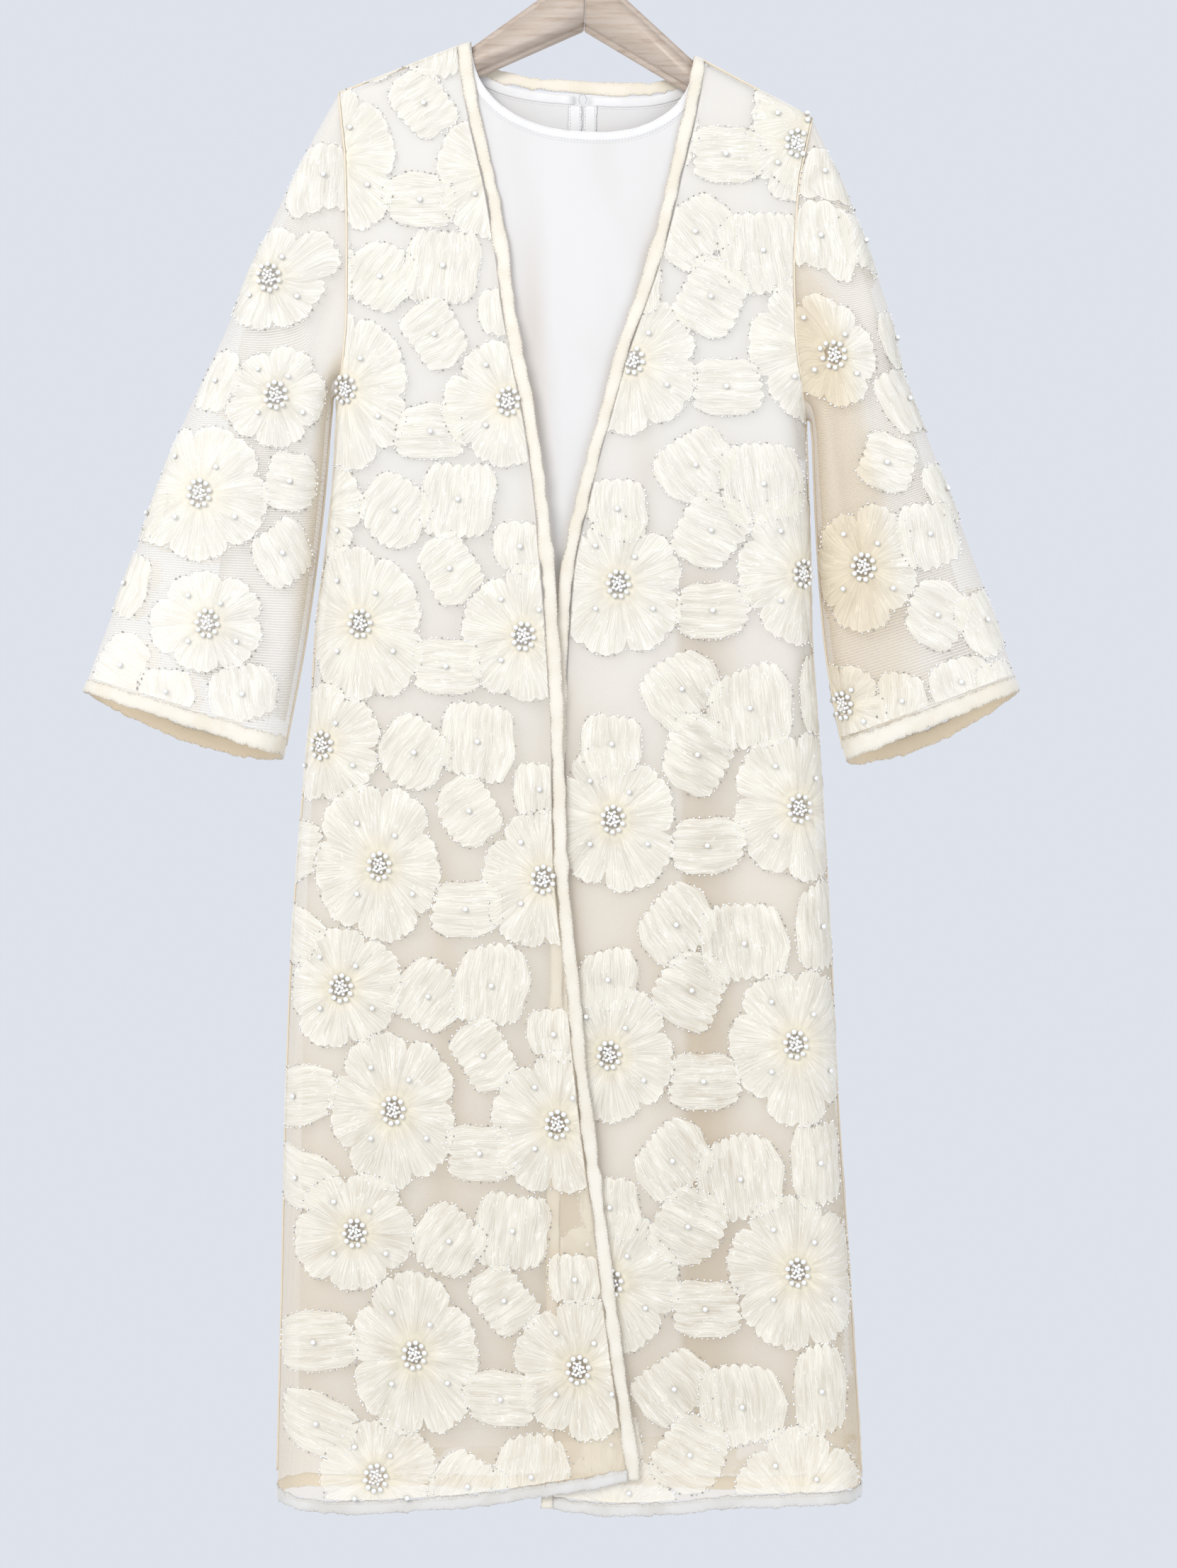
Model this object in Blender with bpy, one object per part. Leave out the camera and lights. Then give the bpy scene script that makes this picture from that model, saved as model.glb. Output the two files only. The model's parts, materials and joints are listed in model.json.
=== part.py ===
"""An open-front abaya of net with gathered-tulle flowers, over its white inner slip, on a wooden hanger.

Metres, +Z up, +X to the viewer's right, +Y away from the viewer. The origin is the point where the
hook rests on a rail. Tables are in millimetres. A cloth panel is drawn flat, in the coordinates of its
front view (x, z), and its surface function rolls the drawing round the shoulder and the side fold and
gives it depth and folds.
"""

import math

import bmesh
import bpy
import numpy as np
from mathutils.geometry import delaunay_2d_cdt

MM = 0.001
QUARTER = math.pi / 2

# Cloth
NET_WALL = 2.0 * MM
SLIP_WALL = 1.2 * MM
SEAM_GAP = 0.3 * MM
BAND_GAP = 0.5 * MM
BAND_WIDTH = 11 * MM
BAND_OUT = 0.8 * MM
BAND_IN = -1.8 * MM
BINDING_WIDTH = 8 * MM
BINDING_OUT = 0.0 * MM
BINDING_IN = -1.2 * MM
LAP = 6.5 * MM
LAP_START = 130 * MM
LAP_END = 12 * MM
LAP_RISE = 2.0 * MM
LAP_MARGIN = 10 * MM

# Hanger, in its own frame: the origin is the lower point of its mitre
HANGER_TILT = math.radians(3.5)
HANGER_X = -3.9 * MM
HANGER_Z = -113 * MM
HANGER_CROWN = 53 * MM
HANGER_NECK = (95 * MM, -20 * MM)
HANGER_TIP = (195 * MM, -66 * MM)
HANGER_ARM = 187 * MM
HANGER_DROP_NECK = 29 * MM
HANGER_DROP_TIP = 22 * MM
HANGER_THICK = 13 * MM
HANGER_EDGE = 5.5 * MM
CLOTH_LIFT = 5.3 * MM
WIRE = 2.0 * MM
HOOK_RADIUS = 20 * MM
COLLAR_RADIUS = 5 * MM
COLLAR_HEIGHT = 4 * MM

# Roll of each layer over the shoulder: the radius, and how far its ridge is under the coat's
ROLL = {"coat": 11.0 * MM, "slip": 8.1 * MM}
SINK = {"coat": 0.0, "slip": 2.9 * MM}
SHOULDER_FADE = 200 * MM
WALL = {"coat": NET_WALL, "slip": SLIP_WALL}

# Side folds and half depth of the body at each height
SIDE_COLUMNS = ("height", "coat", "slip")
SIDE_LEFT = (
    (-1400, -264.5, -247.5), (-1350, -263.6, -247), (-1180, -259.5, -245), (-1010, -255.7, -243),
    (-880, -250.5, -240), (-750, -240.7, -234), (-685, -234.5, -229), (-620, -230.5, -225),
    (-555, -222.5, -217), (-494, -216, -210.5), (-425, -212.5, -206.5), (-385, -222, -213),
    (-340, -232, -228), (-150, -236, -234),
)
SIDE_RIGHT = (
    (-1400, 233, 215), (-1350, 231.5, 214), (-1180, 221.8, 208), (-1010, 210.5, 200),
    (-880, 204.5, 196), (-750, 197, 190), (-685, 192.5, 186.5), (-620, 188.5, 182.5),
    (-555, 187, 181.5), (-494, 185.5, 180), (-443, 184, 177), (-400, 195, 187),
    (-355, 208, 203), (-150, 214, 212),
)
DEPTH = (
    (-1400, 34.5, 23.5), (-1180, 32, 22.5), (-1010, 30, 21.5), (-880, 29, 21), (-750, 28, 20),
    (-620, 26, 19), (-494, 24, 17), (-430, 22, 15.5), (-385, 20.5, 14), (-340, 19, 13),
    (-250, 15, 10.5), (-150, 10.2, 8.2),
)

# Armholes: how far down from the shoulder tip, and x of the seam on each side
ARMHOLE_COLUMNS = ("fall", "left", "right")
ARMHOLE = (
    (0, -211, 189), (220, -205, 177), (500, -203.5, 172.5), (760, -203.5, 174.5),
    (880, -206, 179),
)
ARMHOLE_CURVE = ((0.93, 0.12), (0.965, 0.38), (0.988, 0.72), (1, 1))
UNDERARM = {"left": -421.6 * MM, "right": -441.5 * MM}
SLIP_UNDERARM_RISE = 16 * MM
SLIP_ARMHOLE_INSET = 2.2 * MM
ARMHOLE_STEPS = 17

# Front edges and hems
EDGE_COLUMNS = ("height", "x")
LEFT_EDGE = (
    (-1345, 45.5), (-1241, 31.5), (-1143, 18.4), (-1012, 2), (-913, -7.9), (-815, -17.7), (-684, -21),
    (-585, -27.5), (-461, -40.7), (-356, -60.3), (-264, -73.4), (-152.8, -96.4), (-100, -101),
)
RIGHT_EDGE = (
    (-1370, -41), (-1100, -35), (-900, -32), (-700, -30), (-579, -24.3), (-513, -11), (-461, 2),
    (-395, 20), (-303.6, 51), (-218, 72), (-162.6, 84), (-100, 91),
)
HEM_COLUMNS = ("x", "height")
LEFT_HEM = ((-290, -1350), (-204.6, -1359), (-126, -1356), (-34, -1343), (60, -1326))
RIGHT_HEM = ((-60, -1352), (31.5, -1361), (117, -1356), (260, -1349))
BACK_HEM = ((-290, -1350), (-130, -1352), (0, -1351), (117, -1353), (260, -1349))
SLIP_HEM = ((-290, -1304), (-120, -1306), (0, -1300), (120, -1292), (260, -1288))

# Necklines: centre and half width, and of each its drop under the line of the neck points
# and how square it is
NECK_X = -5.0 * MM
NECK_HALF = 94 * MM
SLIP_FRONT_NECK = (73 * MM, 2.3)
SLIP_BACK_NECK = (40 * MM, 3.0)
COAT_BACK_NECK = (31 * MM, 3.0)
SLIT_LENGTH = 90 * MM
SLIT_HALF = 1.5 * MM

# Soft folds of the body: x at the top and at the hem, height of the top, rise (negative for a
# trough) and half width
FRONT_FOLDS = (
    (-150, -190, -420, 3, 48), (-75, -95, -520, -2.5, 46), (-20, -25, -600, 2.5, 50),
    (60, 62, -480, 3, 48), (122, 128, -430, -3.5, 46), (172, 196, -520, 3, 46),
)
BACK_FOLDS = (
    (-140, -165, -450, 3, 48), (-60, -70, -400, -3, 48), (20, 10, -350, 3, 48),
    (95, 110, -450, -3, 48), (160, 190, -500, 3, 48),
)
FOLD_FULL = 380 * MM

# Sleeves: the outer fold, the underarm fold and the half depth of each section, from armhole to cuff
SLEEVE_COLUMNS = ("along", "fold_x", "fold_z", "under_x", "under_z", "depth")
SLEEVES = {
    ("coat", "left"): (
        (0, -211, -166, -213.5, -421.6, 16), (100, -232, -200, -215.5, -420.5, 19),
        (200, -257, -252, -216.5, -424, 22), (300, -283, -307, -217, -431, 24),
        (400, -306, -364, -218.3, -443, 25.5), (500, -328, -411, -220.8, -475, 26.5),
        (600, -350, -460, -225.5, -525, 27), (800, -388, -565, -239.5, -628, 28),
        (1000, -427.5, -671, -258, -726.6, 27), (1080, -441, -710, -265, -765, 27),
    ),
    ("coat", "right"): (
        (0, 189, -188, 184.8, -441.5, 16), (100, 208, -225, 187.5, -440.5, 19),
        (200, 226, -268, 188.5, -444, 22), (300, 242, -312, 189, -451, 24),
        (400, 256, -356, 189.8, -460, 25.5), (500, 266, -400, 190.8, -485, 26.5),
        (600, 284, -448, 192.5, -525, 27), (800, 322, -548, 199.5, -625, 28),
        (1000, 365.2, -670, 217.7, -729.8, 27), (1080, 382, -715, 227, -770, 27),
    ),
    ("slip", "left"): (
        (0, -209, -168.5, -209.5, -405.6, 12), (100, -229, -205, -213, -405, 13),
        (200, -250, -256, -216, -410, 14), (300, -274, -318, -219, -420, 15),
        (400, -295, -375, -221.5, -440, 15.5), (500, -303, -420, -224.5, -478, 16),
        (600, -307, -470, -230, -528, 16), (800, -313, -570, -243.5, -626, 16),
        (1000, -336, -655, -256, -697, 16), (1080, -346, -690, -261, -725, 16),
    ),
    ("slip", "right"): (
        (0, 187, -190.5, 180.5, -425.5, 12), (100, 204, -230, 184.5, -425, 13),
        (200, 220, -272, 188, -430, 14), (300, 234, -315, 191, -440, 15),
        (400, 247, -358, 193.3, -460, 15.5), (500, 258, -402, 194.8, -490, 16),
        (600, 275, -450, 197.3, -532, 16), (800, 302, -545, 204.5, -626, 16),
        (1000, 336, -655, 221, -710, 16), (1080, 348, -695, 229, -745, 16),
    ),
}
SLEEVE_STATIONS = {
    "coat": (0, 0.04, 0.08, 0.12, 0.16, 0.21, 0.27, 0.34, 0.42, 0.5, 0.58, 0.66, 0.74, 0.82, 0.91, 1),
    "slip": (0, 0.05, 0.1, 0.15, 0.21, 0.28, 0.38, 0.5, 0.64, 0.82, 1),
}
SLEEVE_TURNS = {"coat": (0.25, 0.5, 0.75, 1.0), "slip": (0.35, 0.7, 1.05)}
SLEEVE_FLATS = {"coat": 3, "slip": 1}
SLEEVE_LONG = 450 * MM
SLEEVE_ROUND = 165 * MM
RING_SHARES = (0, 0.015, 0.03, 0.047, 0.065, 0.2, 0.38, 0.56, 0.7, 0.79, 0.86, 0.91, 0.95, 0.98, 1)
SLEEVE_BLEND = 0.22
SLEEVE_CLEAR = 0.7 * MM
SLEEVE_FLAT = 0.26
CUFF_DROP = 12 * MM
SLEEVE_LENGTH = (545 * MM, 308 * MM)

# The appliqué. A repeat of the net's embroidery, charted from the inner big flower of each front:
# kind, across, up, width, height, turn in degrees
CHART = (
    ("flower", 0, 0, 98, 108, 0), ("flower", 150, 4, 100, 116, 20), ("flower", 187, -98, 80, 78, 40),
    ("petal", 72, -22, 46, 56, 0), ("petal", 60, 101, 60, 48, 25), ("petal", 112, 98, 58, 66, 0),
    ("petal", 68, 55, 54, 46, 10), ("petal", 1, 72, 50, 40, 0),
)
REPEAT_RIGHT = {"x": 24 * MM, "z": -582 * MM, "pitch": 196 * MM, "lean": -2 * MM, "first": -2, "rows": 6}
REPEAT_LEFT = {"x": -53 * MM, "z": -624 * MM, "pitch": 201 * MM, "lean": 15 * MM, "first": -2, "rows": 6}
REPEAT_BACK = {"x": 0, "z": -300 * MM, "pitch": 197 * MM, "lean": 0, "first": 0, "rows": 6}
BACK_COLUMN_X = 75 * MM
BACK_COLUMN_DROP = 40 * MM
SLEEVE_CHART = {
    "left": (
        ("flower", -268, -325, 84, 84, 0), ("flower", -262, -424, 78, 74, 30),
        ("flower", -326, -506, 104, 110, 10),
        ("flower", -319, -615, 82, 76, 0), ("petal", -312, -412, 26, 44, -20),
        ("petal", -386, -580, 30, 52, -20),
        ("petal", -388, -646, 50, 38, 20), ("petal", -252, -496, 44, 40, 80),
        ("petal", -256, -556, 46, 50, 30),
        ("petal", -292, -672, 56, 44, 10), ("petal", -232, -250, 36, 50, 0), ("petal", -354, -668, 40, 30, 0),
    ),
    "right": (
        ("flower", 212, -390, 62, 80, 20), ("flower", 232, -568, 84, 92, 0), ("petal", 206, -300, 30, 50, 0),
        ("petal", 230, -292, 34, 44, -20), ("petal", 252, -372, 28, 48, 20), ("petal", 266, -424, 46, 54, 30),
        ("petal", 252, -478, 44, 44, 20), ("petal", 216, -478, 36, 44, 0), ("petal", 282, -530, 48, 54, 10),
        ("petal", 286, -608, 52, 48, 30), ("petal", 322, -618, 42, 56, 30), ("petal", 306, -662, 52, 30, 20),
        ("petal", 222, -650, 40, 36, 0), ("petal", 258, -674, 34, 44, 0), ("petal", 206, -254, 26, 30, 0),
    ),
}
FLOWER_RISE = 3.0 * MM
PETAL_RISE = 2.2 * MM
BEAD_RISE = 2.2 * MM
FLOWER_PETALS = 5
PETAL_NOTCH = 0.2
FLOWER_RING = 0.76
PETAL_RING = 0.62
BEAD_RING = 11 * MM
EDGE_CLEAR = 4 * MM
GRID = 41 * MM
LINE_TOLERANCE = 0.25 * MM
LONGEST_STEP = 84 * MM
TURNS = {"coat": 4, "slip": 3}
INNER_STEP = 56 * MM
SLIP_STEP = 84 * MM
SLOPE_LOW = 450 * MM
SLOPE_FADE = 200 * MM
ROLL_STRETCH = 4.0
FOLD_STRETCH = 2.5

COLOURS = {
    "net": (0.93, 0.88, 0.78, 1), "band": (0.97, 0.92, 0.80, 1), "slip": (0.93, 0.93, 0.94, 1),
    "beech": (0.66, 0.50, 0.37, 1), "steel": (0.62, 0.62, 0.63, 1),
}


def column(table, columns, name):
    """One named column of a table, in metres."""
    return np.array([row[columns.index(name)] for row in table], float) * MM


def smooth_read(keys, values, at):
    """The value at each key, on a smooth curve that never overshoots the rows of the table."""
    order = np.argsort(keys)
    keys = keys[order]
    values = values[order]
    steps = np.diff(keys)
    slopes = np.diff(values) / steps
    both = slopes[:-1] * slopes[1:]
    total = slopes[:-1] + slopes[1:]
    middle = np.where(both > 0, 2 * both / np.where(total == 0, 1, total), 0)
    bends = np.concatenate((slopes[:1], middle, slopes[-1:]))
    at = np.clip(np.asarray(at, float), keys[0], keys[-1])
    i = np.clip(np.searchsorted(keys, at) - 1, 0, len(steps) - 1)
    t = (at - keys[i]) / steps[i]
    start = values[i] * (1 + 2 * t) * (1 - t) ** 2 + bends[i] * steps[i] * t * (1 - t) ** 2
    end = values[i + 1] * t * t * (3 - 2 * t) + bends[i + 1] * steps[i] * t * t * (t - 1)
    return start + end


def ease(t):
    """A soft step from 0 to 1."""
    t = np.clip(t, 0, 1)
    return t * t * (3 - 2 * t)


def from_hanger(x, z):
    """A point of the hanger's own frame, in the part's frame."""
    lean_x = x * math.cos(HANGER_TILT) + z * math.sin(HANGER_TILT)
    lean_z = z * math.cos(HANGER_TILT) - x * math.sin(HANGER_TILT)
    return HANGER_X + lean_x, HANGER_Z + lean_z


def shoulder_points():
    """The shoulder line of the coat: left tip, left neck, right neck and right tip."""
    neck, tip = HANGER_NECK, HANGER_TIP
    line = [from_hanger(side * p[0], p[1]) for side, p in ((-1, tip), (-1, neck), (1, neck), (1, tip))]
    return np.array(line) + (0, CLOTH_LIFT)


def ridge(layer, x):
    """Height of the shoulder line at x, run on past the tips at the same slope."""
    tip_l, neck_l, neck_r, tip_r = shoulder_points()
    slope_l = (neck_l - tip_l)[1] / (neck_l - tip_l)[0]
    slope_r = (tip_r - neck_r)[1] / (tip_r - neck_r)[0]
    xs = np.array((neck_l[0] - 1, neck_l[0], neck_r[0], neck_r[0] + 1))
    zs = np.array((neck_l[1] - slope_l, neck_l[1], neck_r[1], neck_r[1] + slope_r))
    return np.interp(x, xs, zs) - SINK[layer]


def side(layer, which, z):
    """x of the side fold at each height."""
    table = SIDE_LEFT if which == "left" else SIDE_RIGHT
    return smooth_read(column(table, SIDE_COLUMNS, "height"), column(table, SIDE_COLUMNS, layer), z)


def half_depth(layer, z):
    """Half the depth of the body at each height, away from the shoulder."""
    return smooth_read(column(DEPTH, SIDE_COLUMNS, "height"), column(DEPTH, SIDE_COLUMNS, layer), z)


def folds(back, x, z):
    """How far the soft folds stand out of the body at each point."""
    rise = np.zeros_like(x)
    for x_top, x_hem, top, height, width in BACK_FOLDS if back else FRONT_FOLDS:
        fall = np.clip((top * MM - z) / (1350 * MM + top * MM), 0, 1)
        middle = x_top * MM + (x_hem - x_top) * MM * fall
        grown = ease((top * MM - z) / FOLD_FULL)
        rise += height * MM * grown * np.exp(-(((x - middle) / (width * MM)) ** 2))
    return rise


def lap(x, z):
    """How far the left front stands forward to pass over the right front."""
    under = edge_x(RIGHT_EDGE, z)
    return LAP * ease((x - under + LAP_START) / (LAP_START - LAP_END))


def edge_x(table, z):
    """x of a front edge at each height."""
    return smooth_read(column(table, EDGE_COLUMNS, "height"), column(table, EDGE_COLUMNS, "x"), z)


def hem_z(table, x):
    """Height of a hem at each x."""
    return smooth_read(column(table, HEM_COLUMNS, "x"), column(table, HEM_COLUMNS, "height"), x)


def body_surface(layer, back=False, lapped=False):
    """The surface of a body panel: a function of flat x, flat z and the distance outwards."""

    def place(x, z, out):
        x = np.asarray(x, float)
        z = np.asarray(z, float)
        roll = ROLL[layer]
        top = ridge(layer, x)
        level = np.minimum(z, top - roll)
        up = np.clip((z - level) / roll, 0, QUARTER)
        sunk = ease((top - roll - level) / SHOULDER_FADE)
        depth = roll + (half_depth(layer, level) - roll) * sunk
        left = side(layer, "left", level) + depth
        right = side(layer, "right", level) - depth
        turn_left = np.clip((left - x) / depth, 0, QUARTER)
        turn_right = np.clip((x - right) / depth, 0, QUARTER)
        flat_x = np.clip(x, left, right)
        turn = turn_left + turn_right
        stand = folds(back, flat_x, level) * np.cos(turn)
        if lapped:
            stand = stand + lap(flat_x, level)
        reach = depth + out
        y = (reach + stand) * np.cos(turn) * np.cos(up)
        px = flat_x + reach * (np.sin(turn_right) - np.sin(turn_left))
        pz = level + (roll + out) * np.sin(up)
        return np.stack((px, y if back else -y, pz), -1)

    return place


def seam_x(layer, which, z):
    """Flat x of the side seam, which is half way round the side fold."""
    depth = half_depth(layer, z)
    sign = -1 if which == "left" else 1
    return side(layer, which, z) + sign * (QUARTER - 1) * depth


def armhole(layer, which):
    """The armhole seam in flat coordinates, from the shoulder seam down to the underarm."""
    sign = 1 if which == "left" else -1
    inset = sign * SLIP_ARMHOLE_INSET if layer == "slip" else 0
    low = UNDERARM[which] + (SLIP_UNDERARM_RISE if layer == "slip" else 0)
    falls = column(ARMHOLE, ARMHOLE_COLUMNS, "fall")
    xs = column(ARMHOLE, ARMHOLE_COLUMNS, which) + inset
    run = seam_x(layer, which, low) - xs[-1]
    falls = np.append(falls, [fall for fall, _ in ARMHOLE_CURVE])
    xs = np.append(xs, [xs[-1] + run * part for _, part in ARMHOLE_CURVE])
    tip = ridge(layer, xs[0])
    steps = np.sin(np.linspace(0, QUARTER, ARMHOLE_STEPS))
    x = np.interp(steps, falls, xs)
    z = tip + (low - tip) * steps
    roll = (QUARTER - 1) * ROLL[layer]
    return np.append(x[:1], x), np.append(tip + roll, z)


def armhole_at(layer, which, share, clear):
    """Flat points of the armhole, that share of the way to the underarm and that far out of the panel."""
    x, z = armhole(layer, which)
    points = body_surface(layer)(x, z, 0.0)
    steps = np.linalg.norm(np.diff(points, axis=0), axis=1)
    spacing = np.append(0, np.cumsum(steps)) / steps.sum()
    along_x, along_z = np.gradient(x), np.gradient(z)
    length = np.hypot(along_x, along_z)
    sign = 1 if which == "left" else -1
    x = x + sign * clear * along_z / length
    z = z - sign * clear * along_x / length
    return np.interp(share, spacing, x), np.interp(share, spacing, z)


def armhole_outward(layer, which, share):
    """Direction out of the arm's opening, in its own upright plane, at a share of the armhole's run."""
    shares = np.linspace(0, 1, 81)
    points = body_surface(layer)(*armhole_at(layer, which, shares, SLEEVE_CLEAR), 0.0)
    step = np.gradient(points, axis=0)
    outward = np.stack((0 * shares, step[:, 2], -step[:, 1]), -1)
    outward[0] = (0, 0, 1)
    outward[-1] = (0, 0, -1)
    outward /= np.linalg.norm(outward, axis=1)[:, None]
    found = np.stack([np.interp(share, shares, outward[:, i]) for i in range(3)], -1)
    return found / np.linalg.norm(found, axis=-1)[..., None]


def sleeve_sections(layer, which, along):
    """Outer fold, underarm fold, direction between them, width and half depth of a sleeve at each station."""
    table = SLEEVES[(layer, which)]
    keys = column(table, SLEEVE_COLUMNS, "along")
    read = {
        name: smooth_read(keys, column(table, SLEEVE_COLUMNS, name), along) for name in SLEEVE_COLUMNS[1:]
    }
    fold = np.stack((read["fold_x"], read["fold_z"]), -1)
    across = np.stack((read["under_x"], read["under_z"]), -1) - fold
    width = np.linalg.norm(across, axis=-1)
    return fold, across / width[..., None], width, read["depth"]


def find_on_sleeve(layer, which, x, z):
    """The station along the sleeve, and the distance across it, of points of its front view."""
    stations = np.linspace(0, 1.08, 217)
    fold, across, _, _ = sleeve_sections(layer, which, stations)
    off = (x[:, None] - fold[:, 0]) * across[:, 1] - (z[:, None] - fold[:, 1]) * across[:, 0]
    off *= -1 if which == "left" else 1
    passed = np.argmax(off > 0, axis=1)
    passed = np.where((off > 0).any(axis=1), passed, len(stations) - 1)
    passed = np.clip(passed, 1, len(stations) - 1)
    rows = np.arange(len(x))
    before, after = off[rows, passed - 1], off[rows, passed]
    part = np.clip(-before / np.where(after == before, 1, after - before), 0, 1)
    along = stations[passed - 1] + part * (stations[passed] - stations[passed - 1])
    fold, across, _, _ = sleeve_sections(layer, which, along)
    distance = (x - fold[:, 0]) * across[:, 0] + (z - fold[:, 1]) * across[:, 1]
    return along, distance


def sleeve_point(layer, which, back, along, distance, out):
    """A point of a sleeve: its station, the flat distance from its outer fold, and how far outwards."""
    fold, across, width, depth = sleeve_sections(layer, which, along)
    turn_top = np.clip((depth - distance) / depth, 0, QUARTER)
    turn_low = np.clip((distance - width + depth) / depth, 0, QUARTER)
    flat = np.clip(distance, depth, width - depth)
    reach = depth + out
    run = flat + reach * (np.sin(turn_low) - np.sin(turn_top))
    y = -reach * np.cos(turn_top + turn_low)
    tube = np.stack((fold[..., 0] + across[..., 0] * run, y, fold[..., 1] + across[..., 1] * run), -1)
    rolled = (QUARTER - 1) * depth
    share = np.clip((distance + rolled) / (width + 2 * rolled), 0, 1)
    seam = body_surface(layer)(*armhole_at(layer, which, share, SLEEVE_CLEAR), 0.0)
    seam = seam + armhole_outward(layer, which, share) * np.asarray(out)[..., None]
    blend = ease(np.asarray(along) / SLEEVE_BLEND)[..., None]
    point = seam * (1 - blend) + tube * blend
    if back:
        point[..., 1] *= -1
    return point


def flat_on_sleeve(layer, which, along, share):
    """Flat front-view point of a sleeve at a station and a share of the way round from its outer fold."""
    fold, across, width, depth = sleeve_sections(layer, which, along)
    rolled = (QUARTER - 1) * depth
    distance = share * (width + 2 * rolled) - rolled
    return fold + across * distance[..., None]


def cuff_station(share, back, short):
    """Station of the sleeve's end: short of the cuff by that length, and lower on the back half."""
    length = SLEEVE_LENGTH[0] + (SLEEVE_LENGTH[1] - SLEEVE_LENGTH[0]) * share
    drop = CUFF_DROP * np.sin(math.pi * share) if back else 0
    return 1 + (drop - short) / length


def make_material(name):
    """A plain Principled material in the named colour."""
    if name in bpy.data.materials:
        return bpy.data.materials[name]
    material = bpy.data.materials.new(name)
    material.use_nodes = True
    shader = material.node_tree.nodes["Principled BSDF"]
    shader.inputs["Base Color"].default_value = COLOURS[name]
    shader.inputs["Roughness"].default_value = 0.3 if name == "steel" else 0.8
    shader.inputs["Metallic"].default_value = 1.0 if name == "steel" else 0.0
    return material


def add_object(name, vertices, faces, material, smooth=True):
    """One object of the model from its points and faces."""
    mesh = bpy.data.meshes.new(name)
    mesh.from_pydata([tuple(map(float, v)) for v in vertices], [], [tuple(map(int, f)) for f in faces])
    mesh.materials.append(make_material(material))
    if smooth:
        mesh.shade_smooth()
    item = bpy.data.objects.new(name, mesh)
    bpy.context.scene.collection.objects.link(item)
    return item


def inside(outline, points):
    """True for each point that is inside a closed outline."""
    x, z = points[:, 0][:, None], points[:, 1][:, None]
    ax, az = outline[:, 0], outline[:, 1]
    bx, bz = np.roll(ax, -1), np.roll(az, -1)
    rising = (az > z) != (bz > z)
    slope = (bx - ax) / np.where(bz == az, 1, bz - az)
    return (rising & (x < ax + (z - az) * slope)).sum(axis=1) % 2 == 1


def distance_to(outline, points):
    """Distance from each point to a closed outline."""
    a = outline[None]
    d = np.roll(outline, -1, axis=0)[None] - a
    v = points[:, None] - a
    t = np.clip((v * d).sum(-1) / np.maximum((d * d).sum(-1), 1e-12), 0, 1)
    return np.linalg.norm(v - t[..., None] * d, axis=-1).min(axis=1)


def applique_shape(item, count, scale=1.0):
    """Points round a flower or a petal, at a share of its size."""
    kind, x, z, width, height, turn = item
    angle = np.linspace(0, 2 * math.pi, count, endpoint=False)
    if kind == "flower":
        dip = np.abs(np.cos(FLOWER_PETALS * angle / 2)) ** 3
        radius = 1 - PETAL_NOTCH * dip * min(1, scale * scale)
    else:
        radius = (np.abs(np.cos(angle)) ** 3 + np.abs(np.sin(angle)) ** 3) ** (-1 / 3)
    px = radius * np.cos(angle) * width / 2 * scale
    pz = radius * np.sin(angle) * height / 2 * scale
    c, s = math.cos(math.radians(turn)), math.sin(math.radians(turn))
    return np.stack((x + px * c - pz * s, z + px * s + pz * c), -1)


def applique_rise(items, points):
    """How far the appliqué raises the net at each flat point."""
    rise = np.zeros(len(points))
    for kind, x, z, width, height, turn in items:
        c, s = math.cos(math.radians(turn)), math.sin(math.radians(turn))
        dx, dz = points[:, 0] - x, points[:, 1] - z
        u = (dx * c + dz * s) / (width / 2)
        v = (dz * c - dx * s) / (height / 2)
        reach = np.hypot(u, v)
        full = FLOWER_RISE if kind == "flower" else PETAL_RISE
        here = full * np.clip((0.98 - reach) / 0.2, 0, 1)
        if kind == "flower":
            here += BEAD_RISE * np.clip(1.6 - np.hypot(dx, dz) / (1.1 * BEAD_RING), 0, 1)
        rise = np.maximum(rise, here)
    return rise


def scaled(rows):
    """Rows of an appliqué table in metres."""
    return [(kind, x * MM, z * MM, w * MM, h * MM, turn) for kind, x, z, w, h, turn in rows]


def repeat_items(repeat, mirror):
    """The appliqué of one front: the chart, repeated down the cloth."""
    items = []
    for row in range(repeat["first"], repeat["first"] + repeat["rows"]):
        x0 = repeat["x"] + repeat["lean"] * row
        z0 = repeat["z"] - repeat["pitch"] * row
        for kind, across, up, width, height, turn in scaled(CHART):
            items.append((kind, x0 + mirror * across, z0 + up, width, height, mirror * turn))
    return items


def back_items():
    """The appliqué of the back: the chart in two columns that turn their backs on each other."""
    second = dict(REPEAT_BACK, x=BACK_COLUMN_X, z=REPEAT_BACK["z"] - BACK_COLUMN_DROP)
    return repeat_items(REPEAT_BACK, -1) + repeat_items(second, 1)


def applique_points(items, allowed, fine=True):
    """Flat points and edges of the appliqué in the part of a panel where it may stand."""
    points = []
    edges = []
    kept = []
    for item in items:
        flower = item[0] == "flower"
        if flower:
            count = 3 * FLOWER_PETALS if fine else 2 * FLOWER_PETALS
        else:
            count = 8 if fine else 6
        rim = applique_shape(item, count)
        clear = allowed(rim)
        if not clear.any():
            continue
        kept.append(item)
        start = len(points)
        points.extend(rim[clear])
        if clear.all():
            edges.extend((start + i, start + (i + 1) % count) for i in range(count))
        share = FLOWER_RING if flower else PETAL_RING
        extra = [applique_shape(item, FLOWER_PETALS if flower else count // 2, share)]
        if not flower and not fine:
            extra = [np.array([item[1:3]])]
        if flower:
            extra.append(applique_shape(("petal", item[1], item[2], 2 * BEAD_RING, 2.3 * BEAD_RING, 0), 5))
        for ring in extra:
            points.extend(ring[allowed(ring)])
    return np.array(points), edges, kept


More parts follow.
